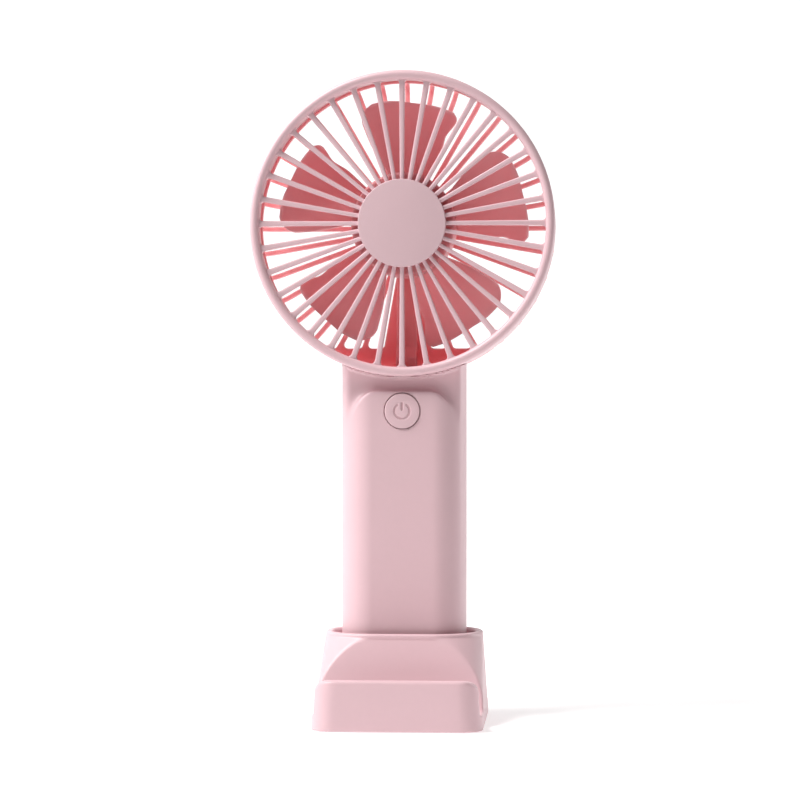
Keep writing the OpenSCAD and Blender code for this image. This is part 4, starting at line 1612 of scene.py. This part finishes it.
@dataclass
class Dock:
    """The dock: a socket for the grip, a leaning phone rest and a low front lip."""

    bench: Bench
    rim: float = 2.5
    socket_gap: float = 3.0
    rim_corner: float = 17.0
    base_corner: float = 7.5
    grip_corner: float = 10.5
    lip: float = 5.0
    lip_height: float = 16.2
    lip_corner: float = 6.0
    slot_width: float = 11.4
    slot_floor: float = 5.0
    rim_band: float = 1.6
    ledge: float = 0.4
    flare: float = 1.5
    base_wall: float = 2.2
    base_recess: float = 2.6
    guide_height: float = 14.0
    guide_half: float = 0.8
    guide_gap: float = 0.4
    guide_spot: float = 7.0
    pitch: float = 0.45

    def __post_init__(self) -> None:
        """Reads the dock's place from the frame."""
        box, grip = Box.of("dock_body"), Box.of("front_shell")
        self.base = box.low[2]
        self.top = box.high[2]
        self.half_w = box.size(0) / 2
        self.front, self.back = box.low[1], box.high[1]
        self.socket_floor = grip.low[2] - 0.1
        self.grip_half_w = grip.size(0) / 2
        self.grip_y = grip.high[1]
        self.grip_half_d = grip.size(1)
        self.tower_front = self.grip_y - self.grip_half_d - self.socket_gap - self.rim
        self.rest_foot = self.front + self.lip + self.slot_width

    def build(self) -> None:
        """Builds the dock's casing."""
        low = (-self.half_w, self.front, self.base)
        high = (self.half_w, self.back, self.top)
        shell = FieldMesher(low, high, self.pitch).build("Dock_Casing", self._shape, 60.0)
        self.bench.place(shell, "dock", Finish.PINK, "dock_body")

    def _shape(self, x: Array, y: Array, z: Array) -> Array:
        """Distance to the dock's shell.

        Args:
            x: X of the points.
            y: Y of the points.
            z: Z of the points.

        Returns:
            Signed distance.
        """
        rest_top = self.top - self.rim_band
        rise = np.clip((z - self.base) / (rest_top + self.ledge - self.base), 0, 1)
        outer_half = self.half_w - self.flare * rise
        tower_front = self.front + (self.tower_front - self.front) * rise
        corner = self.base_corner + (self.rim_corner - self.base_corner) * rise
        middle, half_d = (tower_front + self.back) / 2, (self.back - tower_front) / 2
        tower = both(rounded_box(x, y - middle, outer_half, half_d, corner), z - self.top, 0.9)
        slope = (self.tower_front - self.rest_foot) / (rest_top - self.slot_floor)
        rest = (y - self.rest_foot - (z - self.slot_floor) * slope) / math.hypot(1.0, slope)
        tower = without(tower, both(rest, z - rest_top, 0.3), 0.5)
        whole = rounded_box(x, y, outer_half, (self.back - self.front) / 2, self.base_corner)
        floor = both(whole, z - self.slot_floor, 0.6)
        face = rounded_box(x, z - (self.lip_height - 40.0), self.half_w, 40.0, self.lip_corner)
        lip = both(both(whole, y - self.front - self.lip, 0.9), face, 0.9)
        body = np.maximum(either(either(tower, floor, 0.8), lip, 0.8), whole)
        body = both(body, self.base - z, 0.2)
        half_w, half_d = self.grip_half_w + self.socket_gap, self.grip_half_d + self.socket_gap
        socket = rounded_box(x, y - self.grip_y, half_w, half_d, self.grip_corner + self.socket_gap)
        body = without(body, both(socket, self.socket_floor - z, 0.8), 0.9)
        body = either(body, self._guides(x, y, z), 0.4)
        wall, whole_d = self.base_wall, (self.back - self.front) / 2
        under = rounded_box(x, y, self.half_w - wall, whole_d - wall, self.base_corner - wall)
        return without(body, np.maximum(under, z - self.base_recess), 0.3)

    def _guides(self, x: Array, y: Array, z: Array) -> Array:
        """Distance to the ribs that steady the grip.

        Args:
            x: X of the points.
            y: Y of the points.
            z: Z of the points.

        Returns:
            Signed distance.
        """
        across, deep, sink = np.abs(x), np.abs(y - self.grip_y), 0.5
        dx = np.maximum(deep - self.guide_half, self.grip_half_w + self.guide_gap - across)
        dx = np.maximum(dx, across - self.grip_half_w - self.socket_gap - sink)
        dy = np.abs(across - self.guide_spot) - self.guide_half
        dy = np.maximum(dy, self.grip_half_d + self.guide_gap - deep)
        dy = np.maximum(dy, deep - self.grip_half_d - self.socket_gap - sink)
        height = np.maximum(z - self.socket_floor - self.guide_height, self.socket_floor - sink - z)
        return np.maximum(np.minimum(dx, dy), height)


@dataclass
class Internals:
    """CAD pieces that keep their shape and get edges and a finish."""

    bench: Bench

    def build(self) -> None:
        """Dresses every node that is still shown."""
        slots = {row["node"]: row["material_slot"] for row in frame["record"]["subparts"]}
        for name, node in sorted(frame["nodes"].items()):
            if node.hide_render:
                continue
            finish = Finish(slots[name])
            self.bench.paint.on(node, finish)
            smallest = min(Box.of(name).size(axis) for axis in range(3))
            weld = node.modifiers.new("Weld", "WELD")
            weld.merge_threshold = 0.0005 * MM
            Workshop.round_edges(node, min(0.18, smallest * 0.12), 2, 40.0)
            LOG.info("%s: %s", name, finish.value)


# ---------------------------------------------------------------- studio


@dataclass
class Studio:
    """Floor, backdrop, lights and camera."""

    azimuth: float = 3.9
    distance: float = 850.0
    eye_height: float = 105.0
    aim_shift: float = -0.65
    lens: float = 117.0
    table_glow: float = 0.54

    def build(self) -> None:
        """Sets up the studio."""
        self._camera()
        self._backdrop()
        self._lights()
        self._world()

    def _camera(self) -> None:
        """Adds the camera, level, a little to the right of the front."""
        turn = math.radians(self.azimuth)
        right = Vector((math.cos(turn), math.sin(turn), 0.0))
        away = Vector((math.sin(turn), -math.cos(turn), 0.0))
        data = bpy.data.cameras.new("Camera")
        data.lens = self.lens
        data.sensor_width = 36.0
        data.clip_start = 0.01
        data.clip_end = 20.0
        camera = bpy.data.objects.new("Camera", data)
        camera.location = (right * self.aim_shift + away * self.distance) * MM
        camera.location.z = self.eye_height * MM
        camera.rotation_euler = (math.pi / 2, 0.0, turn)
        bpy.context.scene.collection.objects.link(camera)
        bpy.context.scene.camera = camera

    def _backdrop(self) -> None:
        """Adds a white table that sweeps up into a wall, lit from inside from the fan backwards."""
        half, near, turn, bend, top = 2500.0, -1500.0, 700.0, 500.0, 2200.0
        side = [(near, 0.0)] + arc((turn, bend), bend, -90, 0, 24) + [(turn + bend, top)]
        points = [(x, y, z) for x in (-half, half) for y, z in side]
        count = len(side)
        strips = [[i, i + 1, count + i + 1, count + i] for i in range(count - 1)]
        made = Shape().add(points, strips).piece("Floor")
        graph = Graph("White_Paper")
        fibre = graph.noise(1.5, 3.0)
        place = graph.add("ShaderNodeTexCoord", {}, {}, "Object")
        depth = graph.add("ShaderNodeSeparateXYZ", {}, {"Vector": place}, "Y")
        lit = graph.add("ShaderNodeMapRange", {"interpolation_type": "SMOOTHSTEP"},
                        {"Value": depth, "From Min": -0.45, "From Max": -0.15})
        made.data.materials.append(graph.surface(
            Base_Color=graph.blend(fibre, (0.70, 0.70, 0.70), (0.73, 0.73, 0.73)),
            Roughness=0.9,
            Emission_Color=graph.blend(lit, (0.0, 0.0, 0.0), (1.0, 0.99, 0.99)),
            Emission_Strength=self.table_glow,
        ))

    def _light(self, name: str, spot: Corner, size: float, power: float, colour: Corner = (1, 1, 1)) -> None:
        """Adds an area light that faces the middle of the fan.

        Args:
            name: its name.
            spot: its place in millimetres.
            size: its side in millimetres.
            power: watts.
            colour: its colour.
        """
        data = bpy.data.lights.new(name, "AREA")
        data.shape = "SQUARE"
        data.size = size * MM
        data.energy = power
        data.color = colour
        lamp = bpy.data.objects.new(name, data)
        lamp.location = Vector(spot) * MM
        aim = Vector((0.0, 5.0, 120.0)) * MM - lamp.location
        lamp.rotation_euler = aim.to_track_quat("-Z", "Y").to_euler()
        bpy.context.scene.collection.objects.link(lamp)

    def _lights(self) -> None:
        """Adds the key light, the low fill and the rim light."""
        self._light("Key", (-500.0, -260.0, 960.0), 350.0, 10.6, (1.0, 0.985, 0.975))
        self._light("Left", (-816.0, -66.0, 694.0), 350.0, 4.8)
        self._light("Right_Rim", (700.0, 420.0, 160.0), 300.0, 1.0)

    def _world(self) -> None:
        """Lights the room evenly."""
        world = bpy.data.worlds.new("Studio")
        world.use_nodes = True
        background = world.node_tree.nodes["Background"]
        background.inputs["Color"].default_value = (1.0, 0.985, 0.985, 1.0)
        background.inputs["Strength"].default_value = 0.12
        bpy.context.scene.world = world
        settings = bpy.context.scene.view_settings
        settings.view_transform = "Standard"
        settings.look = "None"


def main() -> None:
    """Builds the studio, the fan and the dock."""
    logging.basicConfig(level=logging.INFO, format="%(name)s %(message)s")
    bench = Bench()
    Studio().build()
    FrontGuard(bench).build()
    RearGuard(bench).build()
    Impeller(bench).build()
    Grip(bench).build()
    PowerButton(bench).build()
    Dock(bench).build()
    Internals(bench).build()
    bpy.context.view_layer.update()


if __name__ == "__main__":
    main()
